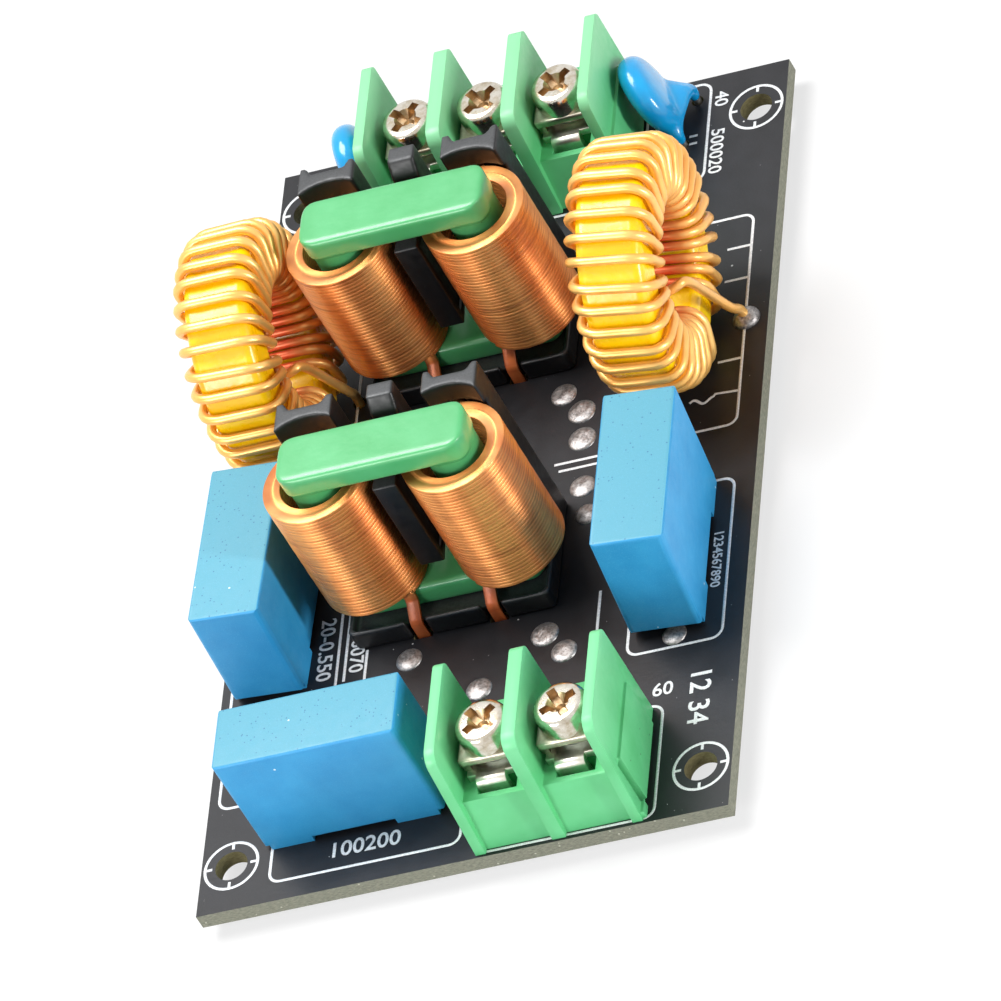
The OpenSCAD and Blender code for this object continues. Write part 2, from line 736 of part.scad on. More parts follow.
// A tube along a path: the side direction is carried from ring to ring without twisting
module swept_wire(path, r, sides) {
  n = len(path);
  tangent = [for (i = [0:n - 1]) unit(sub(path[min(i + 1, n - 1)], path[max(i - 1, 0)]))];
  carried = [for (i = 0, u = crossed(tangent[0], [0.31, 0.95, 0.07]); i < n; i = i + 1,
                  u = i < n ? unit(sub(u, times(tangent[i], dotp(u, tangent[i])))) : u) u];
  rings = [for (i = [0:n - 1])
    let (t = tangent[i], u = unit(sub(carried[i], times(t, dotp(carried[i], t)))), v = cross(t, u))
    for (s = [0:sides - 1]) let (q = 360 * s / sides)
      add(path[i], add(times(u, r * cos(q)), times(v, r * sin(q))))];
  walls = [for (i = [0:n - 2]) for (s = [0:sides - 1])
    let (a = i * sides + s, b = i * sides + (s + 1) % sides, c = b + sides, d = a + sides)
    each [[a, d, c], [a, c, b]]];
  ends = [[for (s = [0:sides - 1]) s], [for (s = [sides - 1:-1:0]) (n - 1) * sides + s]];
  polyhedron(points = rings, faces = concat(walls, ends), convexity = 10);
}

module ring_winding(r) {
  color([0.85, 0.5, 0.22]) swept_wire(wind_path(r), wind_r, wire_sides);
}
module left_ring_core() { at_ring(left_ring) ring_core(); }
module left_ring_winding() { ring_winding(left_ring); }
module right_ring_core() { at_ring(right_ring) ring_core(); }
module right_ring_winding() { ring_winding(right_ring); }

// Box capacitors

// Places a box on its foot print, turned and leaning on its lower edge
module at_box(p, turn, lean) {
  translate([p[0], p[1], z_top]) rotate([0, 0, turn])
    translate([0, -box_w / 2, 0]) rotate([lean, 0, 0]) translate([0, box_w / 2, 0]) children();
}

module box_case(h) {
  color([0.25, 0.6, 0.85])
  difference() {
    union() {
      translate([0, 0, foot_h]) rounded_block(box_l, box_w, h, box_round, box_edge);
      for (x = [-1, 1])
        for (y = [-1, 1])
          translate([x * (box_l - foot_l - 2 * box_round) / 2, y * (box_w - foot_w) / 2, 0])
            translate([-foot_l / 2, -foot_w / 2, 0]) cube([foot_l, foot_w, foot_h + 1]);
    }
    translate([-box_l / 2 + box_wall, -box_w / 2 + box_wall, -1])
      cube([box_l - 2 * box_wall, box_w - 2 * box_wall, foot_h + fill_deep + 1]);
  }
}

// Resin that closes the open underside of the case
module box_fill() {
  color([0.2, 0.35, 0.5])
  difference() {
    translate([-box_l / 2 + box_wall, -box_w / 2 + box_wall, foot_h + fill_in])
      cube([box_l - 2 * box_wall, box_w - 2 * box_wall, fill_deep - fill_in]);
    for (s = [-1, 1])
      translate([s * box_lead_pitch / 2, 0, 0]) cylinder(h = foot_h + lead_sink + fill_in, d = lead_hole);
  }
}

module box_leads(p, turn) {
  color([0.75, 0.74, 0.72]) for (q = box_leads_xy(p, turn)) lead_pin(q[0], q[1], foot_h + lead_sink);
}
module front_box_capacitor() { at_box(front_box, 0, 0) box_case(box_h); }
module front_box_fill() { at_box(front_box, 0, 0) box_fill(); }
module front_box_leads() { box_leads(front_box, 0); }
module left_box_capacitor() { at_box(left_box, left_box_turn, left_box_lean) box_case(box_h); }
module left_box_fill() { at_box(left_box, left_box_turn, left_box_lean) box_fill(); }
module left_box_leads() { box_leads(left_box, left_box_turn); }
module right_box_capacitor() { at_box(right_box, right_box_turn, right_box_lean) box_case(right_box_h); }
module right_box_fill() { at_box(right_box, right_box_turn, right_box_lean) box_fill(); }
module right_box_leads() { box_leads(right_box, right_box_turn); }

// Disc capacitors

// A dipped disc leaning over its leads, with a skirt running down each lead
module disc_body(p) {
  r = disc_d / 2;
  e = disc_t / 2;
  color([0.1, 0.65, 0.9])
  translate([p[0], p[1], z_top + skirt_z])
  difference() {
    union() {
      rotate([0, 0, disc_turn]) rotate([0, -p[2], 0])
        translate([0, 0, r]) rotate([0, 90, 0]) rotate_extrude() intersection() {
          union() {
            translate([0, -e]) square([r - e, 2 * e]);
            translate([r - e, 0]) circle(r = e);
          }
          translate([0, -e]) square([r + e, 2 * e]);
        }
      rotate([0, 0, -disc_lead_turn]) rotate([0, -p[2], 0])
        for (s = [-1, 1])
          translate([0, s * disc_lead_pitch / 2, -fill_in])
            cylinder(h = skirt_l, r1 = lead_d / 2 + 2 * fit_gap, r2 = skirt_r);
    }
    rotate([0, 0, -disc_lead_turn])
      for (s = [-1, 1])
        translate([0, s * disc_lead_pitch / 2, -skirt_l])
          cylinder(h = skirt_l + lead_sink, d = lead_d + fit_gap);
  }
}

module disc_leads(p) {
  color([0.75, 0.74, 0.72]) for (q = disc_leads_xy(p)) lead_pin(q[0], q[1], skirt_z + lead_sink);
}
module left_disc_capacitor() { disc_body(left_disc); }
module left_disc_leads() { disc_leads(left_disc); }
module right_disc_capacitor() { disc_body(right_disc); }
module right_disc_leads() { disc_leads(right_disc); }

// Solder

// A low dome of solder lying on the board
module solder_dome(d, h) {
  rotate_extrude()
    polygon([[0, 0], [d / 2, 0], [d * 0.46, h * 0.42], [d * 0.36, h * 0.74], [d * 0.2, h * 0.94], [0, h]]);
}

module solder_pads() {
  foot = ring_leads_xy(right_ring)[1];
  color([0.72, 0.72, 0.74]) {
    for (p = pads)
      translate([p[0] - board_w / 2, p[1] - board_l / 2, z_top]) solder_dome(p[2], pad_h);
    translate([foot[0], foot[1], z_top]) difference() {
      solder_dome(foot_pad_d, foot_pad_h);
      translate([0, 0, -1]) cylinder(h = foot_pad_h + 2, d = wire_d + fit_gap);
    }
  }
}

// A cone of solder round each lead under the board
module joint_cone(d) {
  difference() {
    cylinder(h = joint_h, r1 = d / 2 + 0.15, r2 = d / 2 + 0.75);
    translate([0, 0, -1]) cylinder(h = joint_h + 2, d = d - lead_play + fit_gap);
  }
}

module solder_joints() {
  color([0.72, 0.72, 0.74]) {
    for (q = round_holes) translate([q[0], q[1], joint_z]) joint_cone(q[2]);
    for (c = [front_choke, rear_choke])
      for (p = choke_slots)
        translate([c[0] + p[0], c[1] + p[1], joint_z]) difference() {
          translate([-strip_w / 2 - strip_joint, -strip_t / 2 - strip_joint, 0])
            cube([strip_w + 2 * strip_joint, strip_t + 2 * strip_joint, joint_h]);
          translate([-(strip_w + fit_gap) / 2, -(strip_t + fit_gap) / 2, -1])
            cube([strip_w + fit_gap, strip_t + fit_gap, joint_h + 2]);
        }
  }
}

// Which piece is drawn
circuit_board();
output_terminal_housing();
output_terminal_contacts();
output_terminal_clamps();
output_terminal_screws();
input_terminal_housing();
input_terminal_contacts();
input_terminal_clamps();
input_terminal_screws();
front_choke_core();
front_choke_coil_left();
front_choke_coil_right();
front_choke_frame();
front_choke_divider();
rear_choke_core();
rear_choke_coil_left();
rear_choke_coil_right();
rear_choke_frame();
rear_choke_divider();
left_ring_core();
left_ring_winding();
right_ring_core();
right_ring_winding();
front_box_capacitor();
front_box_fill();
front_box_leads();
left_box_capacitor();
left_box_fill();
left_box_leads();
right_box_capacitor();
right_box_fill();
right_box_leads();
left_disc_capacitor();
left_disc_leads();
right_disc_capacitor();
right_disc_leads();
solder_pads();
solder_joints();
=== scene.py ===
import json
import math
import random

import bmesh
import bpy
from mathutils import Matrix, Vector

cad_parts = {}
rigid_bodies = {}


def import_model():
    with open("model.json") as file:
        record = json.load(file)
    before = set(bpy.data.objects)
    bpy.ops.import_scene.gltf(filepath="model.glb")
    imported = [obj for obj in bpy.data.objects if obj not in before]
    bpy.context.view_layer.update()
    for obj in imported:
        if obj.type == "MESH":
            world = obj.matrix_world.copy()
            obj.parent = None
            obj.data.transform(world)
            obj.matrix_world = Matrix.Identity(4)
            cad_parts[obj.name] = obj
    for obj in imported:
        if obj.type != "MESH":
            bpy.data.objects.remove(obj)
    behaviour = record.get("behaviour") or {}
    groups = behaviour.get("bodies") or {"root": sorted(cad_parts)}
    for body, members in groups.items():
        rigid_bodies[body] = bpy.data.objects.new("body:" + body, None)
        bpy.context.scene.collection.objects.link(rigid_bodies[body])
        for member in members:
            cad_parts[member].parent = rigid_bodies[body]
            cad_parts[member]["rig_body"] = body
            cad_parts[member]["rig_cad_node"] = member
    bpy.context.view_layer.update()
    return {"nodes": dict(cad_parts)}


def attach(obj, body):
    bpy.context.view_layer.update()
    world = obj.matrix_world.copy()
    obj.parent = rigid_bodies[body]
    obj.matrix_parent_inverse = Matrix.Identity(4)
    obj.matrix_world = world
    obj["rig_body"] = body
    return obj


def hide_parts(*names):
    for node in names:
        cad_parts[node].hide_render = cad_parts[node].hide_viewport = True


# Looks of the line filter board. New pieces are modelled in millimetres in the
# frame of the CAD model and brought to metres when they are handed in.

for leftover in list(bpy.data.objects):
    bpy.data.objects.remove(leftover)
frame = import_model()
NODES = frame["nodes"]
random.seed(5)

MM = 0.001
BOARD_W, BOARD_L, BOARD_TOP = 52.0, 90.0, 3.1
# Vertices nearer than this are one, in a piece made here and in a copy of a CAD node
WELD, CAD_WELD = 0.0005, 0.002
# Degrees: faces that are one flat face, and edges sharp enough to be broken
FLAT_ANGLE, SHARP_ANGLE = 0.6, 38


def on_board(x, y, z=0.0):
    """A point given from the left front corner of the board's top, in the model's frame."""
    return Vector((x - BOARD_W / 2, y - BOARD_L / 2, z + BOARD_TOP))


def tint(red, green, blue):
    """A colour as it looks on a screen, 0 to 255, as the linear colour a shader takes."""
    def linear(value):
        # the curve of sRGB
        value /= 255
        return value / 12.92 if value <= 0.04045 else ((value + 0.055) / 1.055) ** 2.4
    return (linear(red), linear(green), linear(blue), 1.0)


# Handling of objects


def drop_all():
    """Leaves nothing selected."""
    bpy.ops.object.select_all(action="DESELECT")


def take(obj):
    """Makes one object the only selected one, and the active one."""
    drop_all()
    obj.select_set(True)
    bpy.context.view_layer.objects.active = obj


def bake(obj):
    """Applies all modifiers of an object."""
    take(obj)
    for modifier in list(obj.modifiers):
        bpy.ops.object.modifier_apply(modifier=modifier.name)


def joined(objects):
    """Several objects made one."""
    drop_all()
    for obj in objects:
        obj.select_set(True)
    bpy.context.view_layer.objects.active = objects[0]
    bpy.ops.object.join()
    return bpy.context.object


def settle(obj):
    """Works place, turn and size of an object into its mesh."""
    take(obj)
    bpy.ops.object.transform_apply(location=True, rotation=True, scale=True)


def turn_out(obj):
    """Welds an object's doubles and points every face outwards."""
    take(obj)
    bpy.ops.object.mode_set(mode="EDIT")
    bpy.ops.mesh.select_all(action="SELECT")
    bpy.ops.mesh.remove_doubles(threshold=WELD)
    bpy.ops.mesh.normals_make_consistent(inside=False)
    bpy.ops.object.mode_set(mode="OBJECT")


def grown_together(obj, fineness, rounds):
    """Makes one skin of all that an object holds, and lets it flow round."""
    skin = obj.modifiers.new("one skin", "REMESH")
    skin.mode = "VOXEL"
    skin.voxel_size = fineness
    bake(obj)
    flow = obj.modifiers.new("drawn round", "SMOOTH")
    flow.factor = 0.5
    flow.iterations = rounds
    bake(obj)


def new_path(points, flat=False, closed=False):
    """A curve of straight pieces along points, and its data."""
    drop_all()
    bpy.ops.curve.primitive_nurbs_path_add()
    path = bpy.context.object
    if flat:
        path.data.dimensions = "2D"
    path.data.splines.clear()
    spline = path.data.splines.new("POLY")
    spline.points.add(len(points) - 1)
    for point, spot in zip(spline.points, points):
        point.co = (*spot, 1)
    spline.use_cyclic_u = closed
    return path


def as_mesh(obj):
    """Turns a curve or a text into a mesh."""
    take(obj)
    bpy.ops.object.convert(target="MESH")


def hand_in(obj, name, finish, stands_for=(), smooth=38, second=None):
    """Brings a piece from millimetres to metres, and gives it its name, finish and body.
    smooth is the angle in degrees up to which its shading runs over an edge."""
    obj.matrix_world = Matrix.Scale(MM, 4) @ obj.matrix_world
    settle(obj)
    bpy.ops.object.shade_smooth_by_angle(angle=math.radians(smooth))
    obj.name = name
    obj.data.name = name
    if second:
        obj.data.materials[0], obj.data.materials[1] = finish, second
    else:
        obj.data.materials.clear()
        obj.data.materials.append(finish)
    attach(obj, "root")
    if stands_for:
        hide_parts(*stands_for)
    return obj


def copied(node):
    """A welded copy of a CAD node, in millimetres."""
    take(NODES[node])
    bpy.ops.object.duplicate()
    obj = bpy.context.object
    obj.parent = None
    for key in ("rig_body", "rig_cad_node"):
        if key in obj:
            del obj[key]
    obj.matrix_world = Matrix.Scale(1 / MM, 4)
    settle(obj)
    if obj.data.has_custom_normals:
        bpy.ops.mesh.customdata_custom_splitnormals_clear()
    bpy.ops.object.mode_set(mode="EDIT")
    bpy.ops.mesh.select_all(action="SELECT")
    bpy.ops.mesh.remove_doubles(threshold=CAD_WELD)
    bpy.ops.mesh.dissolve_limited(angle_limit=math.radians(FLAT_ANGLE))
    bpy.ops.object.mode_set(mode="OBJECT")
    return obj


def softened(node, width, finish, segments=2, smooth=40, shape=None):
    """A copy of a CAD node with its sharp edges broken, as moulding and stamping leave them."""
    obj = copied(node)
    if shape:
        shape(obj)
    edge = obj.modifiers.new("broken edges", "BEVEL")
    edge.width = width
    edge.segments = segments
    edge.limit_method = "ANGLE"
    edge.angle_limit = math.radians(SHARP_ANGLE)
    edge.use_clamp_overlap = True
    bake(obj)
    return hand_in(obj, node + "_finished", finish, [node], smooth)


def coated(node, finish, fineness, rounds):
    """A copy of a CAD node whose edges are drawn round, as a thick coating leaves them."""
    obj = copied(node)
    grown_together(obj, fineness, rounds)
    turn_out(obj)
    return hand_in(obj, node + "_finished", finish, [node], 80)


DIVIDER_FOOT_H, DIVIDER_LIFT = 3.0, 2.3
DIVIDER_FRONT_SHARE, DIVIDER_WIDENING = 0.7, 1.5


def raise_and_widen(obj):
    """The divider stops short of the lower core bar and nearly fills the gap of the coils."""
    xs, ys, zs = zip(*(vertex.co for vertex in obj.data.vertices))
    middle = (min(xs) + max(xs)) / 2
    foot = min(zs) + DIVIDER_FOOT_H
    front = min(ys) + DIVIDER_FRONT_SHARE * (max(ys) - min(ys))
    for vertex in obj.data.vertices:
        if vertex.co.z < foot:
            vertex.co.z += DIVIDER_LIFT
        if vertex.co.y < front:
            vertex.co.x = middle + (vertex.co.x - middle) * DIVIDER_WIDENING


# Finishes


# Sockets of a Mix node that is set to colours
MIX_FIRST, MIX_SECOND, MIX_RESULT = 6, 7, 2


class Finish:
    """A node material under construction. Lengths in it are millimetres on the piece."""

    def __init__(self, name):
        self.material = bpy.data.materials.new(name)
        self.material.use_nodes = True
        self.tree = self.material.node_tree
        self.shader = self.tree.nodes["Principled BSDF"]
        place = self.add("ShaderNodeTexCoord")
        self.normal = place.outputs["Normal"]
        scale = self.add("ShaderNodeMapping")
        scale.inputs["Scale"].default_value = (1 / MM,) * 3
        self.link(place.outputs["Object"], scale.inputs["Vector"])
        self.at = scale.outputs["Vector"]
        self.bumped = None

    def add(self, kind, **settings):
        made = self.tree.nodes.new(kind)
        for key, value in settings.items():
            setattr(made, key, value)
        return made

    def link(self, source, target):
        self.tree.links.new(source, target)

    def feed(self, socket, value):
        if isinstance(value, bpy.types.NodeSocket):
            self.link(value, socket)
        else:
            socket.default_value = value

    def set(self, **sockets):
        """Feeds sockets of the shader, their names written with _ for each space."""
        for key, value in sockets.items():
            self.feed(self.shader.inputs[key.replace("_", " ")], value)

    def stretched(self, x, y, z):
        """The place on the piece with its axes scaled, which draws a pattern out."""
        made = self.add("ShaderNodeMapping")
        made.inputs["Scale"].default_value = (x, y, z)
        self.link(self.at, made.inputs["Vector"])
        return made.outputs["Vector"]

    def noise(self, scale, detail=2.0, rough=0.5, at=None):
        made = self.add("ShaderNodeTexNoise")
        made.inputs["Scale"].default_value = scale
        made.inputs["Detail"].default_value = detail
        made.inputs["Roughness"].default_value = rough
        self.link(at or self.at, made.inputs["Vector"])
        return made.outputs["Fac"]

    def drift(self, scale, detail=2.0, start=0.0, end=1.0):
        """A value that wanders softly from start to end and back."""
        return self.ramp(self.noise(scale, detail), 0.3, 0.7, start, end)

    def specks(self, scale, size, share):
        """Small round spots, in that share of the cells of a grid of the given scale."""
        made = self.add("ShaderNodeTexVoronoi")
        made.inputs["Scale"].default_value = scale
        self.link(self.at, made.inputs["Vector"])
        near = self.math("LESS_THAN", made.outputs["Distance"], size)
        parts = self.add("ShaderNodeSeparateColor")
        self.link(made.outputs["Color"], parts.inputs["Color"])
        picked = self.math("LESS_THAN", parts.outputs["Red"], share)
        return self.math("MULTIPLY", near, picked)

    def math(self, operation, first, second=0.0):
        made = self.add("ShaderNodeMath", operation=operation)
        self.feed(made.inputs[0], first)
        self.feed(made.inputs[1], second)
        return made.outputs[0]

    def ramp(self, value, low, high, start=0.0, end=1.0):
        """Takes a value from the range low to high into start to end, and holds it there."""
        made = self.add("ShaderNodeMapRange", clamp=True)
        self.feed(made.inputs["Value"], value)
        sockets = ("From Min", "From Max", "To Min", "To Max")
        for socket, number in zip(sockets, (low, high, start, end)):
            made.inputs[socket].default_value = number
        return made.outputs["Result"]

    def mix(self, share, first, second):
        """The first colour, with that share of the second in it."""
        made = self.add("ShaderNodeMix", data_type="RGBA")
        self.feed(made.inputs["Factor"], share)
        self.feed(made.inputs[MIX_FIRST], first)
        self.feed(made.inputs[MIX_SECOND], second)
        return made.outputs[MIX_RESULT]

    def axis(self, vector, name):
        made = self.add("ShaderNodeSeparateXYZ")
        self.link(vector, made.inputs["Vector"])
        return made.outputs[name]

    def bump(self, height, strength, depth):
        """Raises the surface by a height pattern; depth is in millimetres."""
        made = self.add("ShaderNodeBump")
        made.inputs["Strength"].default_value = strength
        made.inputs["Distance"].default_value = depth * MM
        self.link(height, made.inputs["Height"])
        if self.bumped:
            self.link(self.bumped, made.inputs["Normal"])
        self.bumped = made.outputs["Normal"]
        self.link(self.bumped, self.shader.inputs["Normal"])


# Share of the upright in the normal of a flat face, and depth of the board's cut edge
LEVEL_FROM, EDGE_DEPTH = 0.6, 0.1


def board_finish():
    """Black satin solder mask over glass fibre laminate, which shows on cut edges and in holes."""
    f = Finish("board_mask_and_laminate")
    facing = f.math("ABSOLUTE", f.axis(f.normal, "Z"))
    flat = f.math("GREATER_THAN", facing, LEVEL_FROM)
    cloud = f.noise(0.35, 3.0)
    mask = f.mix(f.ramp(cloud, 0.3, 0.75), tint(23, 23, 26), tint(31, 31, 35))
    weave = f.noise(9.0, 3.0, 0.7)
    mask = f.mix(f.ramp(weave, 0.6, 0.8, 0.0, 0.4), mask, tint(60, 60, 66))
    mask = f.mix(f.specks(0.42, 0.045, 0.5), mask, tint(190, 190, 190))
    mask = f.mix(f.specks(1.3, 0.07, 0.12), mask, tint(120, 120, 122))
    fibres = f.noise(2.2, 4.0, 0.7, f.stretched(1, 1, 5))
    cut = f.mix(f.ramp(fibres, 0.35, 0.65), tint(98, 100, 88), tint(142, 142, 126))
    cut = f.mix(f.specks(1.6, 0.16, 0.3), cut, tint(176, 176, 160))
    x, y = (f.math("ABSOLUTE", f.axis(f.at, name)) for name in "XY")
    wide = f.math("GREATER_THAN", x, BOARD_W / 2 - EDGE_DEPTH)
    deep = f.math("GREATER_THAN", y, BOARD_L / 2 - EDGE_DEPTH)
    outside = f.math("MAXIMUM", wide, deep)
    bore = f.mix(f.ramp(fibres, 0.3, 0.7), tint(78, 74, 48), tint(128, 120, 84))
    wall = f.mix(outside, bore, cut)
    f.set(Base_Color=f.mix(flat, wall, mask))
    gloss = f.ramp(cloud, 0.3, 0.7, 0.38, 0.44)
    matt = f.math("MULTIPLY", f.math("SUBTRACT", 1.0, flat), 0.45)
    f.set(Roughness=f.math("ADD", gloss, matt), Specular_IOR_Level=0.3)
    f.bump(f.noise(5.0, 3.0), 0.25, 0.03)
    f.bump(fibres, 0.2, 0.05)
    return f.material


def ink_finish():
    """White printed ink with a slightly uneven edge of tone."""
    f = Finish("printing_ink")
    thick = f.ramp(f.noise(6.0), 0.35, 0.7)
    f.set(Base_Color=f.mix(thick, tint(206, 208, 210), tint(240, 240, 240)), Roughness=0.55)
    f.bump(f.noise(14.0), 0.2, 0.02)
    return f.material


# Heights between which the fins of the terminal blocks are painted paler upwards: a painted
# highlight on their tops
HIGHLIGHT_FROM, HIGHLIGHT_TO = 10.5, 15.3


def moulding_finish(name, light, dark, scuff, pit, pale=None, top=None):
    """Moulded plastic: faint flow tone, fine spark texture, a few pits and pale scuffs.
    pale is the paler tone painted on towards the top as a painted highlight, top the tone of faces
    that look up."""
    f = Finish(name)
    tone = f.mix(f.drift(0.22, 3.0), dark, light)
    # painted highlight: the tone turns paler towards the tops of the fins
    if pale:
        highlight_share = f.ramp(f.axis(f.at, "Z"), HIGHLIGHT_FROM, HIGHLIGHT_TO, 0.0, 0.55)
        tone = f.mix(highlight_share, tone, pale)
    if top:
        up = f.ramp(f.axis(f.normal, "Z"), 0.7, 0.9)
        dusty = f.ramp(f.noise(5.0, 4.0, 0.7), 0.3, 0.7, 0.35, 1.0)
        tone = f.mix(f.math("MULTIPLY", up, dusty), tone, top)
    shade = tuple(0.35 * channel for channel in dark[:3]) + (1.0,)
    tone = f.mix(f.specks(0.5, 0.05, pit), tone, shade)
    scuffed = f.ramp(f.noise(3.0, 5.0, 0.7), 0.66, 0.8, 0.0, scuff)
    tone = f.mix(scuffed, tone, tint(200, 202, 204))
    f.set(Base_Color=tone, Roughness=f.drift(1.3, 3.0, 0.36, 0.5))
    f.bump(f.noise(16.0), 0.18, 0.03)
    return f.material


def case_finish():
    """Blue capacitor case: satin, its top painted a paler, greyer blue as a painted sheen, with
    pits of old printing on top and a few white dust grains.
    """
    f = Finish("blue_case")
    up = f.ramp(f.axis(f.normal, "Z"), 0.8, 0.95)
    side = f.mix(f.drift(0.3, 4.0), tint(36, 140, 196), tint(48, 152, 206))
    # painted sheen: faces that look up get a paler, greyer blue than the sides
    tone = f.mix(up, side, tint(84, 158, 180))
    fine = f.noise(11.0, 2.0, 0.6)
    tone = f.mix(f.ramp(fine, 0.55, 0.75, 0.0, 0.4), tone, tint(104, 184, 222))
    coarse = f.noise(7.0, 3.0, 0.7)
    tone = f.mix(f.ramp(coarse, 0.6, 0.78, 0.0, 0.45), tone, tint(40, 112, 166))
    patch = f.ramp(f.noise(0.3, 1.0), 0.36, 0.5)
    pits = f.math("MULTIPLY", f.math("MULTIPLY", f.specks(2.3, 0.17, 0.55), up), patch)
    tone = f.mix(f.math("MULTIPLY", pits, 0.8), tone, tint(30, 92, 140))
    dust = f.math("MULTIPLY", f.specks(0.55, 0.06, 0.3), 0.85)
    tone = f.mix(dust, tone, tint(226, 240, 248))
    f.set(Base_Color=tone, Roughness=f.drift(1.1, 3.0, 0.42, 0.54))
    f.bump(fine, 0.3, 0.03)
    return f.material


def enamel_finish(name, light, dark, rough, peel):
    """Thick glossy coating that pools a little: green on the chokes, yellow on the rings."""
    f = Finish(name)
    tone = f.mix(f.drift(0.3), dark, light)
    tone = f.mix(f.specks(0.6, 0.035, 0.3), tone, tint(30, 60, 40))
    f.set(Base_Color=tone, Roughness=f.drift(0.9, 2.0, rough - 0.04, rough + 0.06))
    f.set(Coat_Weight=0.35, Coat_Roughness=0.18)
    f.bump(f.noise(1.4), peel, 0.12)
    return f.material


def copper_finish(name, light, deep, dark, deep_red, deep_red_share, rough, fine, metal, drawn=0.0):
    """Enamelled copper: a clear lacquer over bright metal, tone drifting from turn to turn.
    The share of the deep red tone comes from a function of the finish: inside the rings it is a
    painted reflection of copper on copper, with painted shade, where the wire lies between other
    wires; on the strips it darkens them below the coils.
    drawn is the strength of the lines that drawing leaves along a flat wire."""
    f = Finish(name)
    turns = f.noise(fine, 2.0, 0.6, f.stretched(0.05, 0.05, 1.0))
    wander = f.noise(0.3, 2.0, 0.5, f.stretched(1.0, 1.0, 0.12))
    tone = f.mix(f.ramp(wander, 0.35, 0.65), deep, light)
    tone = f.mix(f.ramp(turns, 0.5, 0.74, 0.0, 0.5), tone, dark)
    tone = f.mix(deep_red_share(f), tone, deep_red)
    f.set(Base_Color=tone, Metallic=metal, Roughness=f.drift(2.5, 3.0, rough, rough + 0.1))
    f.set(Coat_Weight=0.6, Coat_Roughness=0.29, Coat_IOR=1.5, Coat_Tint=tint(255, 226, 176))
    if drawn:
        lines = f.noise(2.4 * fine, 1.0, 0.5, f.stretched(0.02, 0.02, 1.0))
        f.bump(lines, drawn, 0.05)
        upright = f.add("ShaderNodeVectorTransform", vector_type="VECTOR",
                        convert_from="OBJECT", convert_to="WORLD")
        # not quite upright, so that it never lies along a normal
        upright.inputs[0].default_value = (0.02, 0.0, 1.0)
        f.link(upright.outputs[0], f.shader.inputs["Tangent"])
        f.set(Anisotropic=0.9)
    return f.material


def metal_finish(name, light, dark, rough, spread, mark=0.1):
    """Plated or tinned metal with soft stains, small scratches and uneven gloss."""
    f = Finish(name)
    stain = f.noise(0.9, 5.0, 0.6)
    tone = f.mix(f.ramp(stain, 0.4, 0.68), light, dark)
    scratch = f.noise(3.0, 4.0, 0.7, f.stretched(1.0, 5.0, 1.0))
    tone = f.mix(f.ramp(scratch, 0.6, 0.72, 0.0, mark), tone, tint(70, 62, 50))
    gloss = f.ramp(stain, 0.3, 0.75, rough, rough + spread)
    f.set(Base_Color=tone, Metallic=1.0, Roughness=gloss)
    f.bump(f.noise(6.0, 3.0), 0.2, 0.03)
    return f.material


def solder_finish():
    """Cold grey solder with crystals and patches of brownish flux."""
    f = Finish("solder_and_flux")
    grain = f.noise(4.0, 5.0, 0.7)
    tone = f.mix(f.ramp(grain, 0.35, 0.65), tint(112, 108, 107), tint(184, 181, 179))
    tone = f.mix(f.ramp(f.noise(1.1, 3.0), 0.5, 0.75, 0.0, 0.55), tone, tint(84, 74, 70))
    f.set(Base_Color=tone, Metallic=0.75, Roughness=f.ramp(grain, 0.3, 0.7, 0.28, 0.5))
    f.bump(grain, 0.35, 0.08)
    return f.material


def dipped_finish():
    """Blue dipped epoxy of the disc capacitors, wet gloss over a soft colour."""
    f = Finish("dipped_blue")
    tone = f.mix(f.drift(0.35), tint(0, 142, 206), tint(0, 164, 226))
    f.set(Base_Color=tone, Roughness=f.drift(1.5, 2.0, 0.16, 0.26))
    f.set(Coat_Weight=0.35, Coat_Roughness=0.06, Subsurface_Weight=0.05)
    f.set(Subsurface_Radius=(0.3, 0.9, 1.4), Subsurface_Scale=MM)
    f.bump(f.noise(0.7), 0.2, 0.2)
    return f.material


def resin_finish():
    """Dark blue resin that closes the cases from below."""
    f = Finish("casting_resin")
    tone = f.mix(f.noise(0.8, 3.0), tint(24, 52, 84), tint(44, 84, 122))
    f.set(Base_Color=tone, Roughness=0.3)
    f.bump(f.noise(1.2), 0.3, 0.2)
    return f.material


# Heights between which the strips, darker and redder below the coils, turn bright again
STRIP_DARK_TO, STRIP_BRIGHT_FROM = 6.2, 7.4
# Middle of the rings' holes; x is that of the right ring, and the left one mirrors it
RING_HOLE_X, RING_HOLE_Y, RING_HOLE_Z = 19.25, 11.0, 15.35


def below_the_coils(f):
    return f.ramp(f.axis(f.at, "Z"), STRIP_DARK_TO, STRIP_BRIGHT_FROM, 0.75, 0.0)


def painted_reflection_in_the_rings(f):
    """Share of the deep red tone round the hole of a ring, which has its axis along X, but for its
    right end: a painted reflection of copper on copper, with painted shade.
    """
    across = f.math("SUBTRACT", f.axis(f.at, "Y"), RING_HOLE_Y)
    up = f.math("SUBTRACT", f.axis(f.at, "Z"), RING_HOLE_Z)
    squares = f.math("ADD", f.math("POWER", across, 2.0), f.math("POWER", up, 2.0))
    near = f.ramp(f.math("SQRT", squares), 6.0, 7.3, 0.85, 0.0)
    x = f.axis(f.at, "X")
    along = f.math("SUBTRACT", x, f.math("MULTIPLY", f.math("SIGN", x), RING_HOLE_X))
    return f.math("MULTIPLY", near, f.ramp(along, 0.2, 2.8, 1.0, 0.1))


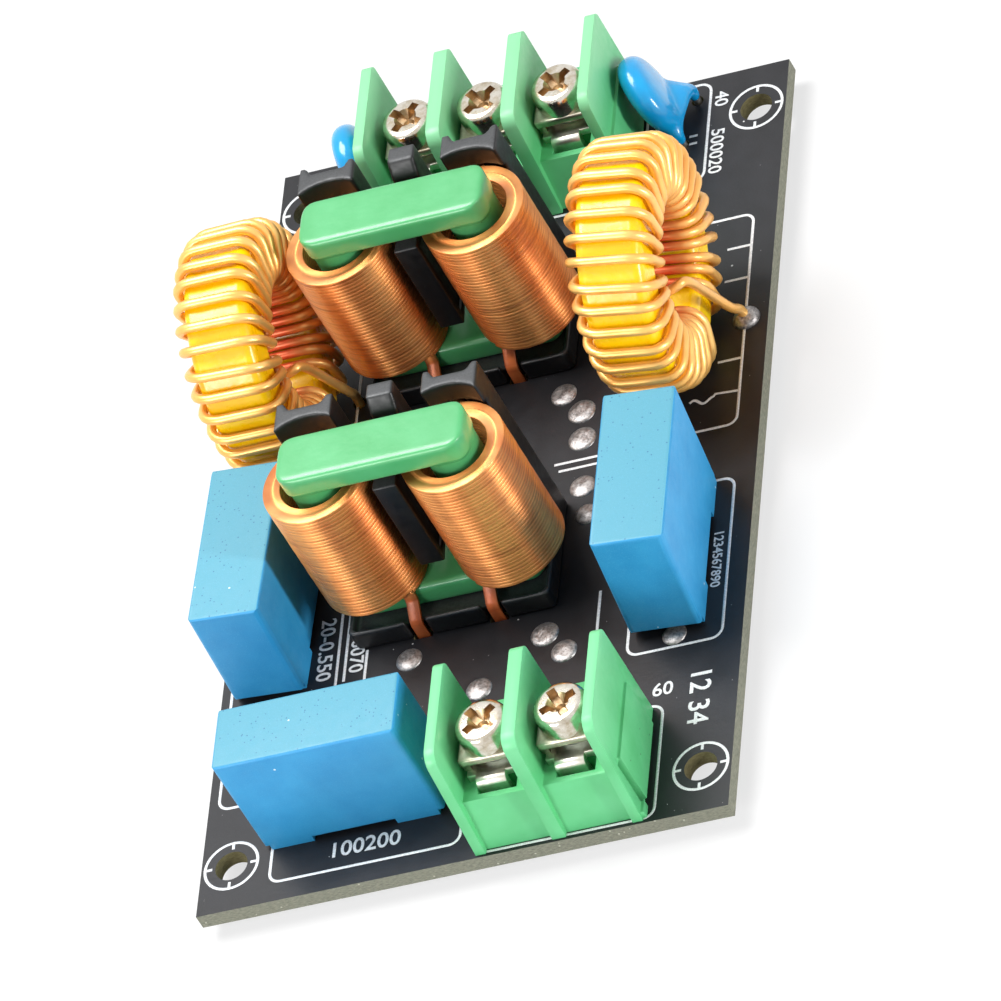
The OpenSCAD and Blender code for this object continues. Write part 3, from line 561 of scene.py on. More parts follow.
BOARD = board_finish()
INK = ink_finish()
GREENS = {"light": tint(98, 196, 132), "dark": tint(86, 184, 118), "scuff": 0.05, "pit": 0.12}
# painted highlight on the fin tops, paler on the input block's copy
GREEN_MOULDING = moulding_finish("green_moulding", pale=tint(132, 216, 160), **GREENS)
STRONG_HIGHLIGHT_MOULDING = moulding_finish("green_moulding_painted_highlight", pale=tint(164, 228, 180), **GREENS)
BLACK_MOULDING = moulding_finish("black_moulding", tint(15, 15, 17), tint(10, 10, 12),
                                 scuff=0.22, pit=0.0, top=tint(66, 68, 70))
BLUE_CASE = case_finish()
GREEN_ENAMEL = enamel_finish("green_enamel", tint(88, 180, 116), tint(76, 170, 103), 0.36, 0.15)
YELLOW_ENAMEL = enamel_finish("yellow_enamel", tint(255, 222, 8), tint(250, 204, 4), 0.28, 0.3)
# the strips turn darker and redder below the coils
FLAT_COPPER = copper_finish(
    "enamelled_flat_copper", tint(248, 190, 126), tint(220, 140, 84), tint(150, 70, 36),
    deep_red=tint(166, 70, 34), deep_red_share=below_the_coils, rough=0.42, fine=2.2, metal=0.85, drawn=0.3)
# deep red round the rings' holes: painted reflection of copper on copper, with painted shade
ROUND_COPPER = copper_finish(
    "enamelled_round_copper", tint(255, 220, 146), tint(253, 204, 120), tint(244, 172, 92),
    deep_red=tint(200, 56, 24), deep_red_share=painted_reflection_in_the_rings, rough=0.29, fine=0.8, metal=0.5)
# painted shade: the driver recess is a darker, browner metal than the head; its scratches are tool
# marks
RECESS_PAINTED_SHADE = metal_finish("tool_marked_recess_painted_shade", tint(206, 182, 148), tint(150, 122, 90),
                      0.28, 0.16, mark=0.4)
NICKEL = metal_finish("nickel_screws", tint(224, 218, 206), tint(184, 170, 146),
                      0.14, 0.12, mark=0.35)
NICKEL_PLATE = metal_finish("nickel_clamps", tint(196, 190, 174), tint(158, 148, 124),
                            0.28, 0.16, mark=0.25)
TINNED = metal_finish("tinned_contacts", tint(226, 224, 214), tint(196, 190, 174), 0.28, 0.14)
WIRE_TIN = metal_finish("tinned_wire", tint(206, 206, 204), tint(160, 158, 156), 0.28, 0.18)
SOLDER = solder_finish()
DIPPED = dipped_finish()
RESIN = resin_finish()

# CAD nodes that keep their own mesh

BOXES = ("front_box", "left_box", "right_box")
CHOKES = {"front_choke": on_board(23.4, 33.0), "rear_choke": on_board(22.9, 61.9)}

NODES["circuit_board"].data.materials[0] = BOARD
NODES["solder_joints"].data.materials[0] = SOLDER
for box in BOXES:
    NODES[box + "_fill"].data.materials[0] = RESIN
    NODES[box + "_leads"].data.materials[0] = WIRE_TIN
for side in ("left", "right"):
    NODES[side + "_ring_core"].data.materials[0] = YELLOW_ENAMEL
    NODES[side + "_disc_leads"].data.materials[0] = WIRE_TIN

# Moulded, stamped and coated pieces: the CAD shape with its edges broken or drawn round

for block, plastic in (("output", GREEN_MOULDING), ("input", STRONG_HIGHLIGHT_MOULDING)):
    softened(block + "_terminal_housing", 0.1, plastic)
    softened(block + "_terminal_contacts", 0.09, TINNED)
    softened(block + "_terminal_clamps", 0.12, NICKEL_PLATE)
for choke in CHOKES:
    coated(choke + "_core", GREEN_ENAMEL, fineness=0.14, rounds=22)
    coated(choke + "_frame", BLACK_MOULDING, fineness=0.22, rounds=5)
    softened(choke + "_divider", 0.3, BLACK_MOULDING, segments=3,
             shape=raise_and_widen)
for box in BOXES:
    softened(box + "_capacitor", 0.38, BLUE_CASE, segments=4)

# Edge-wound coils

# Between the two axes, across a coil, across the flat wire, number of turns, height
COIL_PITCH, COIL_D, FLAT_W, COIL_TURNS, COIL_L = 13.6, 10.4, 1.7, 34, 14.3
# Share of the pitch that is wire, share of it that its rounded edge takes, steps of a turn
WIRE_SHARE, WIRE_EDGE_SHARE, TURN_STEPS = 0.98, 0.2, 60
# How far a turn may lie inward, and up or down
LAID_IN, LAID_UP = 0.03, 0.008
# The coils stand on the core's lower bar, which lies this high above the board
CORE_LIFT, CORE_BAR_T = 1.4, 2.5
COIL_Z = BOARD_TOP + CORE_LIFT + CORE_BAR_T
# Strips from a coil down to the board: their section, and their places from the coil's axis
# or, along X, from the choke's middle
STRIP_W, STRIP_T, STRIP_EDGE_SHARE = 1.25, 0.45, 0.3
FRONT_STRIP_X = {-1: -3.4, 1: 4.2}
FRONT_STRIP_Y, FRONT_FOOT_Y = -3.2, -4.9
BACK_STRIP_Y = COIL_D / 2 + STRIP_T
FULL_TURN = 2 * math.pi


def flat_turns(axis_x, axis_y, start):
    """The flat wire on edge, swept up its helix from the front strip to the back one."""
    turns = COIL_TURNS - 1 + ((math.pi / 2 - start) % FULL_TURN) / FULL_TURN
    pitch = COIL_L / (turns + 1)
    drop_all()
    bpy.ops.mesh.primitive_plane_add(size=1, rotation=(math.pi / 2, 0, 0))
    coil = bpy.context.object
    coil.scale = (FLAT_W, pitch * WIRE_SHARE, 1)
    coil.location = (COIL_D / 2 - FLAT_W / 2, 0, pitch / 2)
    settle(coil)
    bpy.ops.object.mode_set(mode="EDIT")
    bpy.ops.mesh.select_all(action="SELECT")
    bpy.ops.mesh.bevel(offset=pitch * WIRE_EDGE_SHARE, segments=3, affect="VERTICES")
    bpy.ops.mesh.delete(type="ONLY_FACE")
    bpy.ops.object.mode_set(mode="OBJECT")
    sweep = coil.modifiers.new("helix", "SCREW")
    sweep.angle = FULL_TURN * turns
    sweep.screw_offset = pitch * turns
    sweep.steps = sweep.render_steps = round(TURN_STEPS * turns)
    bake(coil)
    bpy.ops.object.mode_set(mode="EDIT")
    bpy.ops.mesh.select_all(action="DESELECT")
    bpy.ops.mesh.select_non_manifold()
    bpy.ops.mesh.fill_holes(sides=0)
    bpy.ops.object.mode_set(mode="OBJECT")
    # each turn is laid by hand, a little inward and a little up or down
    shifts = [(random.uniform(-LAID_IN, 0.0), random.uniform(-LAID_UP, LAID_UP))
              for _ in range(COIL_TURNS + 3)]
    for vertex in coil.data.vertices:
        x, y, z = vertex.co
        share = (math.atan2(y, x) % FULL_TURN) / FULL_TURN
        along = max(0.0, round(z / pitch - 0.5 - share) + share)
        turn = int(along)
        part = along - turn
        out, up = (here * (1 - part) + there * part
                   for here, there in zip(shifts[turn], shifts[turn + 1]))
        if 0.5 < along < turns - 0.5:
            z += up
        grow = 1 + out / math.hypot(x, y)
        vertex.co = (x * grow, y * grow, z)
    coil.rotation_euler = (0, 0, start)
    coil.location = (axis_x, axis_y, COIL_Z)
    settle(coil)
    turn_out(coil)
    return coil


def bent_strip(x, y, route):
    """A flat strip along a route of (y, z) points, its width lying along X."""
    strip = new_path([(along, up, 0) for along, up in route], flat=True)
    strip.data.extrude = STRIP_W / 2
    strip.rotation_euler = (math.pi / 2, 0, math.pi / 2)
    strip.location = (x, y, 0)
    as_mesh(strip)
    settle(strip)
    wall = strip.modifiers.new("thickness", "SOLIDIFY")
    wall.thickness = STRIP_T
    wall.offset = 0
    edge = strip.modifiers.new("drawn edges", "BEVEL")
    edge.width = STRIP_T * STRIP_EDGE_SHARE
    edge.segments = 2
    edge.limit_method = "ANGLE"
    bake(strip)
    turn_out(strip)
    return strip


def arc(centre, radius, start, end, count=5):
    """Points on an arc, its angles in degrees."""
    angles = [math.radians(start + (end - start) * i / count) for i in range(count + 1)]
    return [(centre[0] + radius * math.cos(angle), centre[1] + radius * math.sin(angle))
            for angle in angles]


def edge_wound_coil(choke, side, centre):
    """One coil of a choke with its front and back strips; side is -1 for left and 1 for right."""
    axis_x, axis_y = centre[0] + side * COIL_PITCH / 2, centre[1]
    foot_x = centre[0] + FRONT_STRIP_X[side]
    coil = flat_turns(axis_x, axis_y, math.atan2(FRONT_STRIP_Y, foot_x - axis_x))
    top = COIL_Z + COIL_L - STRIP_T / 2
    front = bent_strip(foot_x, axis_y, [
        (FRONT_STRIP_Y, COIL_Z + 0.5), (FRONT_STRIP_Y, BOARD_TOP + 3.2),
        (FRONT_STRIP_Y - 0.2, BOARD_TOP + 2.8), (FRONT_FOOT_Y + 0.25, BOARD_TOP + 1.9),
        (FRONT_FOOT_Y, BOARD_TOP + 1.4), (FRONT_FOOT_Y, 0.0)])
    over_the_edge = arc((BACK_STRIP_Y - 0.4, top - 0.4), 0.4, 80, 0)
    back = bent_strip(axis_x, axis_y, [
        (COIL_D / 2 - 1.1, top), (BACK_STRIP_Y - 0.5, top), *over_the_edge, (BACK_STRIP_Y, 0.0)])
    node = f"{choke}_coil_{'left' if side < 0 else 'right'}"
    hand_in(joined([coil, front, back]), node + "_flat_wire", FLAT_COPPER,
            [node], 32)


for choke, centre in CHOKES.items():
    for side in (-1, 1):
        edge_wound_coil(choke, side, centre)

# Wound rings

RING_OD, RING_ID, RING_T, WIRE_D = 21.8, 12.8, 6.3, 0.92
# From the core's faces to the middle of the wire, and rounding of a turn at the corners
WIRE_AWAY, WIND_CORNER = 0.7, 1.9
# Number of turns, degrees they take up, degree of the first one
RING_TURNS, WIND_SPAN, WIND_START = 30, 344, -98
WIND_OUT = RING_OD / 2 + WIRE_AWAY
WIND_IN = RING_ID / 2 - WIRE_AWAY
WIND_HALF = RING_T / 2 + WIRE_AWAY
RING_Z = BOARD_TOP + WIND_OUT + 0.65
# Where a wire enters the board: away from the winding, from the ring's middle, start of its bend
RING_FOOT_OUT, RING_FOOT_Y, FOOT_BEND_Z = 0.55, 2.3, BOARD_TOP + 1.0
# Place on the board, lean and turn in degrees, how far the loose end's blob is off
RINGS = {
    "left_ring": {"at": (6.4, 56.2), "lean": 0.3, "turn": 2.2, "reach": 0.0},
    "right_ring": {"at": (44.9, 55.8), "lean": 5.5, "turn": -2.7, "reach": 0.55},
}


def turn_section(side_steps=3):
    """Points (along the axis, radius) of one turn, from the middle of the left face inward."""
    half, inner, outer, r = WIND_HALF, WIND_IN, WIND_OUT, WIND_CORNER
    middle = (inner + outer) / 2
    points = []

    def line(a, b, steps):
        for i in range(steps):
            points.append(tuple(p + (q - p) * i / steps for p, q in zip(a, b)))

    line((-half, middle), (-half, inner + r), side_steps)
    points.extend(arc((-half + r, inner + r), r, 180, 270)[:-1])
    line((-half + r, inner), (half - r, inner), side_steps)
    points.extend(arc((half - r, inner + r), r, 270, 360)[:-1])
    line((half, inner + r), (half, outer - r), 2 * side_steps)
    points.extend(arc((half - r, outer - r), r, 0, 90)[:-1])
    line((half - r, outer), (-half + r, outer), side_steps)
    points.extend(arc((-half + r, outer - r), r, 90, 180)[:-1])
    line((-half, outer - r), (-half, middle), side_steps)
    return points


def wobble(turn):
    """Uneven spacing of the turns, as wound by hand."""
    return (0.09 * math.sin(math.radians(turn * 137))
            + 0.06 * math.sin(math.radians(turn * 61 + 40)))


# The loose end: over the left face, through the hole and down across the right face,
# given from the middle of the ring
LOOSE_END = [(-4.8, -3.3, -4.3), (-4.0, -4.2, -2.4), (0.0, -4.3, -0.8), (3.4, -4.0, 0.2),
             (4.35, -3.0, -0.4), (4.4, -0.6, -5.05), (4.75, 1.0, -9.0)]


def eased(points, steps=6):
    """A smooth route through points but the first and the last, which only steer it."""
    route = []
    for i in range(1, len(points) - 2):
        a, b, c, d = points[i - 1:i + 3]
        for j in range(steps):
            t = j / steps
            route.append(0.5 * (2 * b + (c - a) * t + (2 * a - 5 * b + 4 * c - d) * t ** 2
                                + (3 * b - a - 3 * c + d) * t ** 3))
    return route + [points[-2]]


def wire_foot(point, start):
    """A wire from under the board, up and over in a soft bend to where it starts to wind."""
    bend = Vector((point.x, point.y, FOOT_BEND_Z))
    pulled = start * 0.45 + (bend + Vector((0, 0, 0.6))) * 0.55
    curve = []
    for i in range(7):
        t = i / 6
        curve.append((bend * (1 - t) + pulled * t) * (1 - t) + (pulled * (1 - t) + start * t) * t)
    return [point, *curve]


def winding_route(place):
    """The middle line of all turns, on a ring that stands at the given place."""
    section = turn_section()
    count = len(section)
    route = []
    for i in range(RING_TURNS * count + 1):
        whole, step = divmod(i, count)
        across, radius = section[step]
        along = whole + step / count + wobble(whole) * math.sin(math.pi * step / count)
        angle = math.radians(WIND_START - WIND_SPAN * along / (RING_TURNS + 0.5))
        spot = Vector((across, radius * math.cos(angle), radius * math.sin(angle)))
        route.append(place @ spot)
    return route


def wound_ring(name):
    """One unbroken wire: up from the board, round the ring and down to the board again."""
    ring = RINGS[name]
    lean, turn = math.radians(ring["lean"]), math.radians(ring["turn"])
    centre = on_board(*ring["at"])
    centre.z = RING_Z
    route = winding_route(Matrix.Translation(centre) @ Matrix.Rotation(turn, 4, "Z")
                          @ Matrix.Rotation(lean, 4, "Y"))
    lead_out = WIND_HALF + RING_FOOT_OUT
    slip = math.sin(lean) * (WIND_IN + WIND_OUT) / 2
    left = Vector((centre.x - lead_out - slip, centre.y - RING_FOOT_Y, 0))
    right = Vector((centre.x + lead_out + ring["reach"], centre.y + RING_FOOT_Y, 0))
    bend = Vector((right.x, right.y, FOOT_BEND_Z))
    loose = route[-2:] + [centre + Vector(point) for point in LOOSE_END] + [bend, right]
    wire = new_path(wire_foot(left, route[0])[:-1] + route[:-1] + eased(loose) + [right])
    wire.data.bevel_depth = WIRE_D / 2
    wire.data.bevel_resolution = 5
    wire.data.use_fill_caps = True
    as_mesh(wire)
    turn_out(wire)
    hand_in(wire, name + "_round_wire", ROUND_COPPER, [name + "_winding"], 60)


for name in RINGS:
    wound_ring(name)

# Terminal screws

SCREW_HEAD_D, SCREW_HEAD_H, SCREW_SHANK_D, SCREW_L = 5.2, 2.2, 2.9, 3.2
CROWN_ROUND, SHANK_LAP = 0.85, 0.02
# The driver recess: its arms' length and width at the top, what is left of these at the
# bottom, and its depth; the conical pit in its middle
ARM_L, ARM_W, ARM_L_SHARE, ARM_W_SHARE, ARM_DEPTH = 4.3, 1.15, 0.72, 0.6, 0.95
PIT_R, PIT_BOTTOM_R, PIT_H, PIT_DEPTH = 1.5, 0.35, 1.9, 1.3
CUTTER_H = 2.4
# Degrees that a driver may have left the recess at
SCREW_TURNS = (28, 35, 44, 57)
POLE_PITCH, BLOCK_D, FIN_END_T = 7.62, 13.0, 1.05
# The floor of a pole, and what lies between it and a screw's head
POLE_FLOOR_H, CONTACT_T, CLAMP_LIFT, CLAMP_T = 5.7, 0.8, 1.1, 0.8
STACK = CONTACT_T + CLAMP_LIFT + CLAMP_T
SEAT_Z = BOARD_TOP + POLE_FLOOR_H + STACK
# Left side and front of a terminal block on the board, number of poles
BLOCKS = {"output": (27.55, 0.2, 2), "input": (13.45, BOARD_L - 0.1 - BLOCK_D, 3)}


def recess_arm(turn, top):
    """One bar of the recess cutter, narrower and shorter at its bottom."""
    drop_all()
    bpy.ops.mesh.primitive_cube_add(size=1)
    arm = bpy.context.object
    arm.scale = (ARM_L, ARM_W, CUTTER_H)
    arm.location = (0, 0, top + CUTTER_H / 2 - ARM_DEPTH)
    settle(arm)
    bpy.ops.object.mode_set(mode="EDIT")
    shape = bmesh.from_edit_mesh(arm.data)
    for vertex in shape.verts:
        vertex.select = vertex.co.z < top
    shape.select_flush_mode()
    bmesh.update_edit_mesh(arm.data)
    bpy.ops.transform.resize(value=(ARM_L_SHARE, ARM_W_SHARE, 1), center_override=(0, 0, 0))
    bpy.ops.object.mode_set(mode="OBJECT")
    arm.rotation_euler = (0, 0, math.radians(turn))
    settle(arm)
    return arm


def cut_with(obj, other, operation, **settings):
    """Applies an exact boolean and clears the other object away."""
    change = obj.modifiers.new("cut", "BOOLEAN")
    change.operation = operation
    change.solver = "EXACT"
    change.object = other
    for key, value in settings.items():
        setattr(change, key, value)
    bake(obj)
    bpy.data.objects.remove(other)


def recess_cutter(turn, top):
    """Cross with tapering arms and a deeper middle, which cuts the driver recess."""
    cutter, arm = recess_arm(turn, top), recess_arm(turn + 90, top)
    drop_all()
    bpy.ops.mesh.primitive_cone_add(vertices=16, radius1=PIT_BOTTOM_R, radius2=PIT_R, depth=PIT_H)
    pit = bpy.context.object
    pit.location = (0, 0, top + PIT_H / 2 - PIT_DEPTH)
    settle(pit)
    cut_with(cutter, arm, "UNION")
    cut_with(cutter, pit, "UNION")
    return cutter


def screw(turn):
    """Pan head with a flat crown, a driver recess and a plain shank, its seat at height 0."""
    drop_all()
    bpy.ops.mesh.primitive_cylinder_add(vertices=56, radius=SCREW_HEAD_D / 2, depth=SCREW_HEAD_H)
    head = bpy.context.object
    head.location = (0, 0, SCREW_HEAD_H / 2)
    settle(head)
    bpy.ops.object.mode_set(mode="EDIT")
    bpy.ops.mesh.select_all(action="DESELECT")
    bpy.ops.object.mode_set(mode="OBJECT")
    for edge in head.data.edges:
        edge.select = all(head.data.vertices[v].co.z > SCREW_HEAD_H - 0.01 for v in edge.vertices)
    bpy.ops.object.mode_set(mode="EDIT")
    bpy.ops.mesh.bevel(offset=CROWN_ROUND, segments=6, profile=0.55, affect="EDGES")
    bpy.ops.object.mode_set(mode="OBJECT")
    cutter = recess_cutter(turn, SCREW_HEAD_H)
    for obj, finish in ((head, NICKEL), (cutter, RECESS_PAINTED_SHADE)):
        obj.data.materials.clear()
        obj.data.materials.append(finish)
    cut_with(head, cutter, "DIFFERENCE", material_mode="TRANSFER")
    # the second slot must be there even where the cut brought none
    if len(head.data.materials) < 2:
        head.data.materials.append(RECESS_PAINTED_SHADE)
    drop_all()
    shank_l = SCREW_L + STACK
    bpy.ops.mesh.primitive_cylinder_add(vertices=32, radius=SCREW_SHANK_D / 2, depth=shank_l)
    shank = bpy.context.object
    shank.location = (0, 0, SHANK_LAP - shank_l / 2)
    settle(shank)
    return joined([head, shank])


for block, (left, front, poles) in BLOCKS.items():
    screws = []
    for pole in range(poles):
        one = screw(random.choice(SCREW_TURNS))
        x = left + (FIN_END_T + POLE_PITCH) / 2 + pole * POLE_PITCH
        place = on_board(x, front + BLOCK_D / 2)
        one.location = (place.x, place.y, SEAT_Z)
        settle(one)
        screws.append(one)
    hand_in(joined(screws), block + "_terminal_cross_screws", NICKEL,
            [block + "_terminal_screws"], 40, second=RECESS_PAINTED_SHADE)

# Dipped discs

DISC_D, DISC_T = 8.3, 3.2
# The rim is full and round, not sharp as on a lens
RIM_FULLNESS = 0.55
# The two leads: their distance, and the degrees that their row is turned by
LEAD_PITCH, LEAD_TURN = 5.4, 11
# The coating between the leads: chains of balls, lowest and free height, how its leads bend
SKIRT_CHAINS, SKIRT_BALLS, SKIRT_Z, SKIRT_ARCH, LEAD_BEND = 9, 14, 0.75, 1.6, 0.8
BEND_SHARE, BALL_R, BALL_GROWTH = 0.2, 0.56, 0.8
# Foot between the two leads, middle of the body from there, turn and lean of the body
DISCS = {
    "left_disc": ((10.8, BOARD_L - 5.5), (-0.3, -0.1, 4.9), 14, 4),
    "right_disc": ((42.36, BOARD_L - 5.33), (-2.3, 0.4, 4.5), 20, 12),
}


def skirt_chain(fan, stance):
    """Balls from the leads' height up into the body; fan runs from -1 to 1 between the leads."""
    along = Vector((0, fan * LEAD_PITCH / 2, SKIRT_Z + SKIRT_ARCH * (1 - fan ** 4)))
    low = Matrix.Rotation(math.radians(-LEAD_TURN), 4, "Z") @ along
    bend = low + Vector((0, 0, LEAD_BEND * fan ** 4))
    high = stance @ Vector((0, fan * LEAD_PITCH * 0.34, -DISC_D * 0.2))
    balls = []
    for i in range(SKIRT_BALLS):
        share = i / (SKIRT_BALLS - 1)
        if share < BEND_SHARE:
            spot = low.lerp(bend, share / BEND_SHARE)
        else:
            spot = bend.lerp(high, (share - BEND_SHARE) / (1 - BEND_SHARE))
        drop_all()
        bpy.ops.mesh.primitive_uv_sphere_add(
            segments=24, ring_count=14, radius=BALL_R + BALL_GROWTH * share ** 1.2, location=spot)
        settle(bpy.context.object)
        balls.append(bpy.context.object)
    return balls


def dipped_disc(name, foot, middle, turn, lean):
    """A lens-shaped body and the coating run down its leads, grown into one skin."""
    drop_all()
    bpy.ops.mesh.primitive_uv_sphere_add(segments=48, ring_count=24, radius=1)
    body = bpy.context.object
    body.scale = (DISC_T / 2, DISC_D / 2, DISC_D / 2)
    settle(body)
    for vertex in body.data.vertices:
        reach = math.hypot(vertex.co.y, vertex.co.z) / (DISC_D / 2)
        vertex.co.x *= 1 + RIM_FULLNESS * reach ** 3
    stance = (Matrix.Translation(middle) @ Matrix.Rotation(math.radians(turn), 4, "Z")
              @ Matrix.Rotation(math.radians(-lean), 4, "Y"))
    body.matrix_world = stance
    settle(body)
    parts = [body]
    half = SKIRT_CHAINS // 2
    for step in range(-half, half + 1):
        parts += skirt_chain(step / half, stance)
    skin = joined(parts)
    grown_together(skin, fineness=0.15, rounds=26)
    skin.location = on_board(*foot)
    settle(skin)
    turn_out(skin)
    hand_in(skin, name + "_dipped_body", DIPPED, [name + "_capacitor"], 80)


for name, (foot, middle, turn, lean) in DISCS.items():
    dipped_disc(name, foot, middle, turn, lean)

# Solder on the top pads

# Place on the board and width of each low blob; height of these, width and height of the
# blob that holds the right ring's loose end
PADS = [(31.9, 53.7, 2.6), (33.9, 51.1, 2.8), (34.2, 47.7, 2.8), (34.7, 41.8, 2.6),
        (35.4, 38.3, 2.4), (32.3, 24.8, 2.8), (34.4, 22.3, 2.6), (18.8, 25.3, 2.6),
        (45.3, 21.4, 2.4), (26.2, 19.9, 2.6)]
PAD_H, LOOSE_BLOB_W, LOOSE_BLOB_H = 0.35, 2.7, 0.9
LUMP_SHARE, FLAT_BELOW = 0.12, 0.01


def solder_blob(x, y, width, height, variant):
    """A low uneven dome of solder lying on the board; variant shifts its lumps."""
    drop_all()
    bpy.ops.mesh.primitive_uv_sphere_add(segments=32, ring_count=20, radius=1)
    blob = bpy.context.object
    blob.scale = (width / 2, width / 2, height)
    settle(blob)
    bpy.ops.object.mode_set(mode="EDIT")
    bpy.ops.mesh.select_all(action="SELECT")
    bpy.ops.mesh.bisect(plane_co=(0, 0, 0), plane_no=(0, 0, 1), clear_inner=True, use_fill=True)
    bpy.ops.object.mode_set(mode="OBJECT")
    for vertex in blob.data.vertices:
        if vertex.co.z > FLAT_BELOW:
            lump = (math.sin(vertex.co.x * 2.6 + variant)
                    * math.cos(vertex.co.y * 3.1 + 2 * variant))
            vertex.co.z *= 1 + LUMP_SHARE * lump
    blob.location = on_board(x, y)
    settle(blob)
    return blob


blobs = [solder_blob(x, y, width, PAD_H, i * 1.7) for i, (x, y, width) in enumerate(PADS)]
ring = RINGS["right_ring"]
blobs.append(solder_blob(ring["at"][0] + WIND_HALF + RING_FOOT_OUT + ring["reach"],
                         ring["at"][1] + RING_FOOT_Y, LOOSE_BLOB_W, LOOSE_BLOB_H, 4.0))
hand_in(joined(blobs), "solder_blobs", SOLDER, ["solder_pads"], 60)

# Printing on the board

# Width and height of a printed line, how far the ink stands clear of the board, and how far
# it spreads round a figure, as a share of the figure's size
INK_W, INK_H, INK_CLEAR, INK_SPREAD = 0.28, 0.03, 0.008, 0.012
# Middle line of the ring round a hole, outer and inner end of its ticks
MARK_R, TICK_OUT, TICK_IN = 2.62, 2.55, 1.9
HOLES = ((3.0, 5.2), (49.0, 5.2), (3.0, 84.8), (49.0, 84.8))


def printed_line(points, closed=False):
    """A line of ink along points given from the left front corner of the board."""
    line = new_path([on_board(x, y) for x, y in points], closed=closed)
    line.data.bevel_depth = INK_W / 2
    line.data.bevel_resolution = 1
    line.data.use_fill_caps = not closed
    as_mesh(line)
    for vertex in line.data.vertices:
        above = max(0.0, vertex.co.z - BOARD_TOP)
        vertex.co.z = BOARD_TOP + INK_CLEAR + above * INK_H * 2 / INK_W
    return line


def outline(x0, y0, x1, y1, corner=1.1):
    """A closed line round a rectangle, its corners round."""
    points = []
    for x, y, start in ((x1 - corner, y1 - corner, 0), (x0 + corner, y1 - corner, 90),
                        (x0 + corner, y0 + corner, 180), (x1 - corner, y0 + corner, 270)):
        points += arc((x, y), corner, start, start + 90, 6)
    return printed_line(points, closed=True)


def hole_mark(x, y):
    """A ring round a mounting hole with four ticks pointing in."""
    marks = [printed_line(arc((x, y), MARK_R, 0, 360, 56)[:-1], closed=True)]
    for to_x, to_y in ((1, 0), (-1, 0), (0, 1), (0, -1)):
        marks.append(printed_line([(x + to_x * reach, y + to_y * reach)
                                   for reach in (TICK_OUT, TICK_IN)]))
    return marks


# The symbol of a ring's place: width, length of its bars, their places above the wavy end
SYMBOL_W, BAR_L, BARS_ABOVE = 9.0, 2.4, (17.9, 13.9, 4.0)


def coil_symbol(x, low, high, wave_y):
    """The outline of a ring's place, its right side crossed by short bars and a wavy one."""
    marks = [outline(x - SYMBOL_W, low, x, high, 1.0)]
    for above in BARS_ABOVE:
        marks.append(printed_line([(x, wave_y + above), (x - BAR_L, wave_y + above)]))
    wave = [(x - 2.55 - 0.14 * i, wave_y - 0.35 + 0.3 * math.cos(i * 0.45)) for i in range(18)]
    marks.append(printed_line([(x, wave_y), (x - BAR_L, wave_y + 0.2), *wave]))
    return marks


# Corners of the places outlined on the board, and ends of its single lines
OUTLINES = ((7.0, 2.2, 25.8, 13.6), (1.0, 12.1, 11.5, 43.6), (27.2, 0.5, 44.8, 13.4),
            (40.7, 20.0, 50.0, 38.9), (12.8, 76.6, 37.9, 89.6), (38.9, 77.0, 44.2, 89.3),
            (7.6, 79.6, 12.4, 89.3))
LINES = (((12.3, 24.4), (12.3, 34.8)), ((14.4, 23.0), (14.4, 27.6)),
         ((37.5, 21.2), (37.5, 28.6)), ((31.6, 45.2), (40.3, 45.2)),
         ((32.1, 44.3), (40.3, 44.3)), ((42.35, 82.9), (43.2, 82.9)),
         ((42.4, 81.95), (43.2, 81.95)))
# Plain numbers: place, size and turn
NUMBERS = (("100200", 16.3, 4.35, 2.4, 0), ("20-0.550", 10.1, 28.7, 2.1, -90),
           ("506070", 13.35, 28.2, 2.0, -90), ("1234567890", 48.85, 29.4, 1.35, -90),
           ("40", 45.3, 86.9, 1.9, -90), ("500020", 45.2, 80.3, 1.9, -90),
           ("12 34", 48.2, 13.5, 2.9, -90), ("60", 44.6, 15.15, 2.1, 0))


def printed_number(text, x, y, size, turn):
    """A plain place number, printed flat."""
    drop_all()
    bpy.ops.object.text_add()
    number = bpy.context.object
    number.data.body = text
    number.data.size = size
    number.data.align_x = "CENTER"
    number.data.align_y = "CENTER"
    number.data.extrude = INK_H / 2
    number.data.offset = INK_SPREAD * size
    number.data.resolution_u = 4
    as_mesh(number)
    number.rotation_euler = (0, 0, math.radians(turn))
    number.location = on_board(x, y, INK_CLEAR + INK_H / 2)
    settle(number)
    return number


prints = []
for hole in HOLES:
    prints += hole_mark(*hole)
prints += [outline(*corners) for corners in OUTLINES]
prints += [printed_line(ends) for ends in LINES]
prints += coil_symbol(49.7, 45.4, 71.2, 49.4)
prints.append(outline(1.6, 45.4, 10.6, 70.8, 1.0))
prints += [printed_number(*number) for number in NUMBERS]
hand_in(joined(prints), "printing", INK, (), 30)

# Camera, lights and floor

# The photograph's viewpoint, and the directions of its right, its lower side and its depth
VIEW_FROM = Vector((355.6, -662.4, 695.1)) * MM
RIGHT = Vector((0.9149, 0.0768, -0.3964))
DOWN = Vector((-0.2043, -0.7587, -0.6185))
AHEAD = Vector((-0.3482, 0.6469, -0.6785))

bpy.ops.object.camera_add()
camera = bpy.context.object
camera.name = "photograph_view"
camera.data.lens = 400.0
camera.data.sensor_width = 36.0
camera.data.clip_start, camera.data.clip_end = 0.05, 20.0
turned = Matrix((RIGHT, -DOWN, -AHEAD)).transposed().to_4x4()
camera.matrix_world = Matrix.Translation(VIEW_FROM) @ turned
bpy.context.scene.camera = camera


def soft_lamp(name, place, size, power):
    """A rectangular lamp that looks at the object's middle."""
    bpy.ops.object.light_add(type="AREA", location=place)
    lamp = bpy.context.object
    lamp.name = name
    lamp.data.shape = "RECTANGLE"
    lamp.data.size, lamp.data.size_y = size
    lamp.data.energy = power
    lamp.rotation_euler = (-Vector(place)).to_track_quat("-Z", "Y").to_euler()


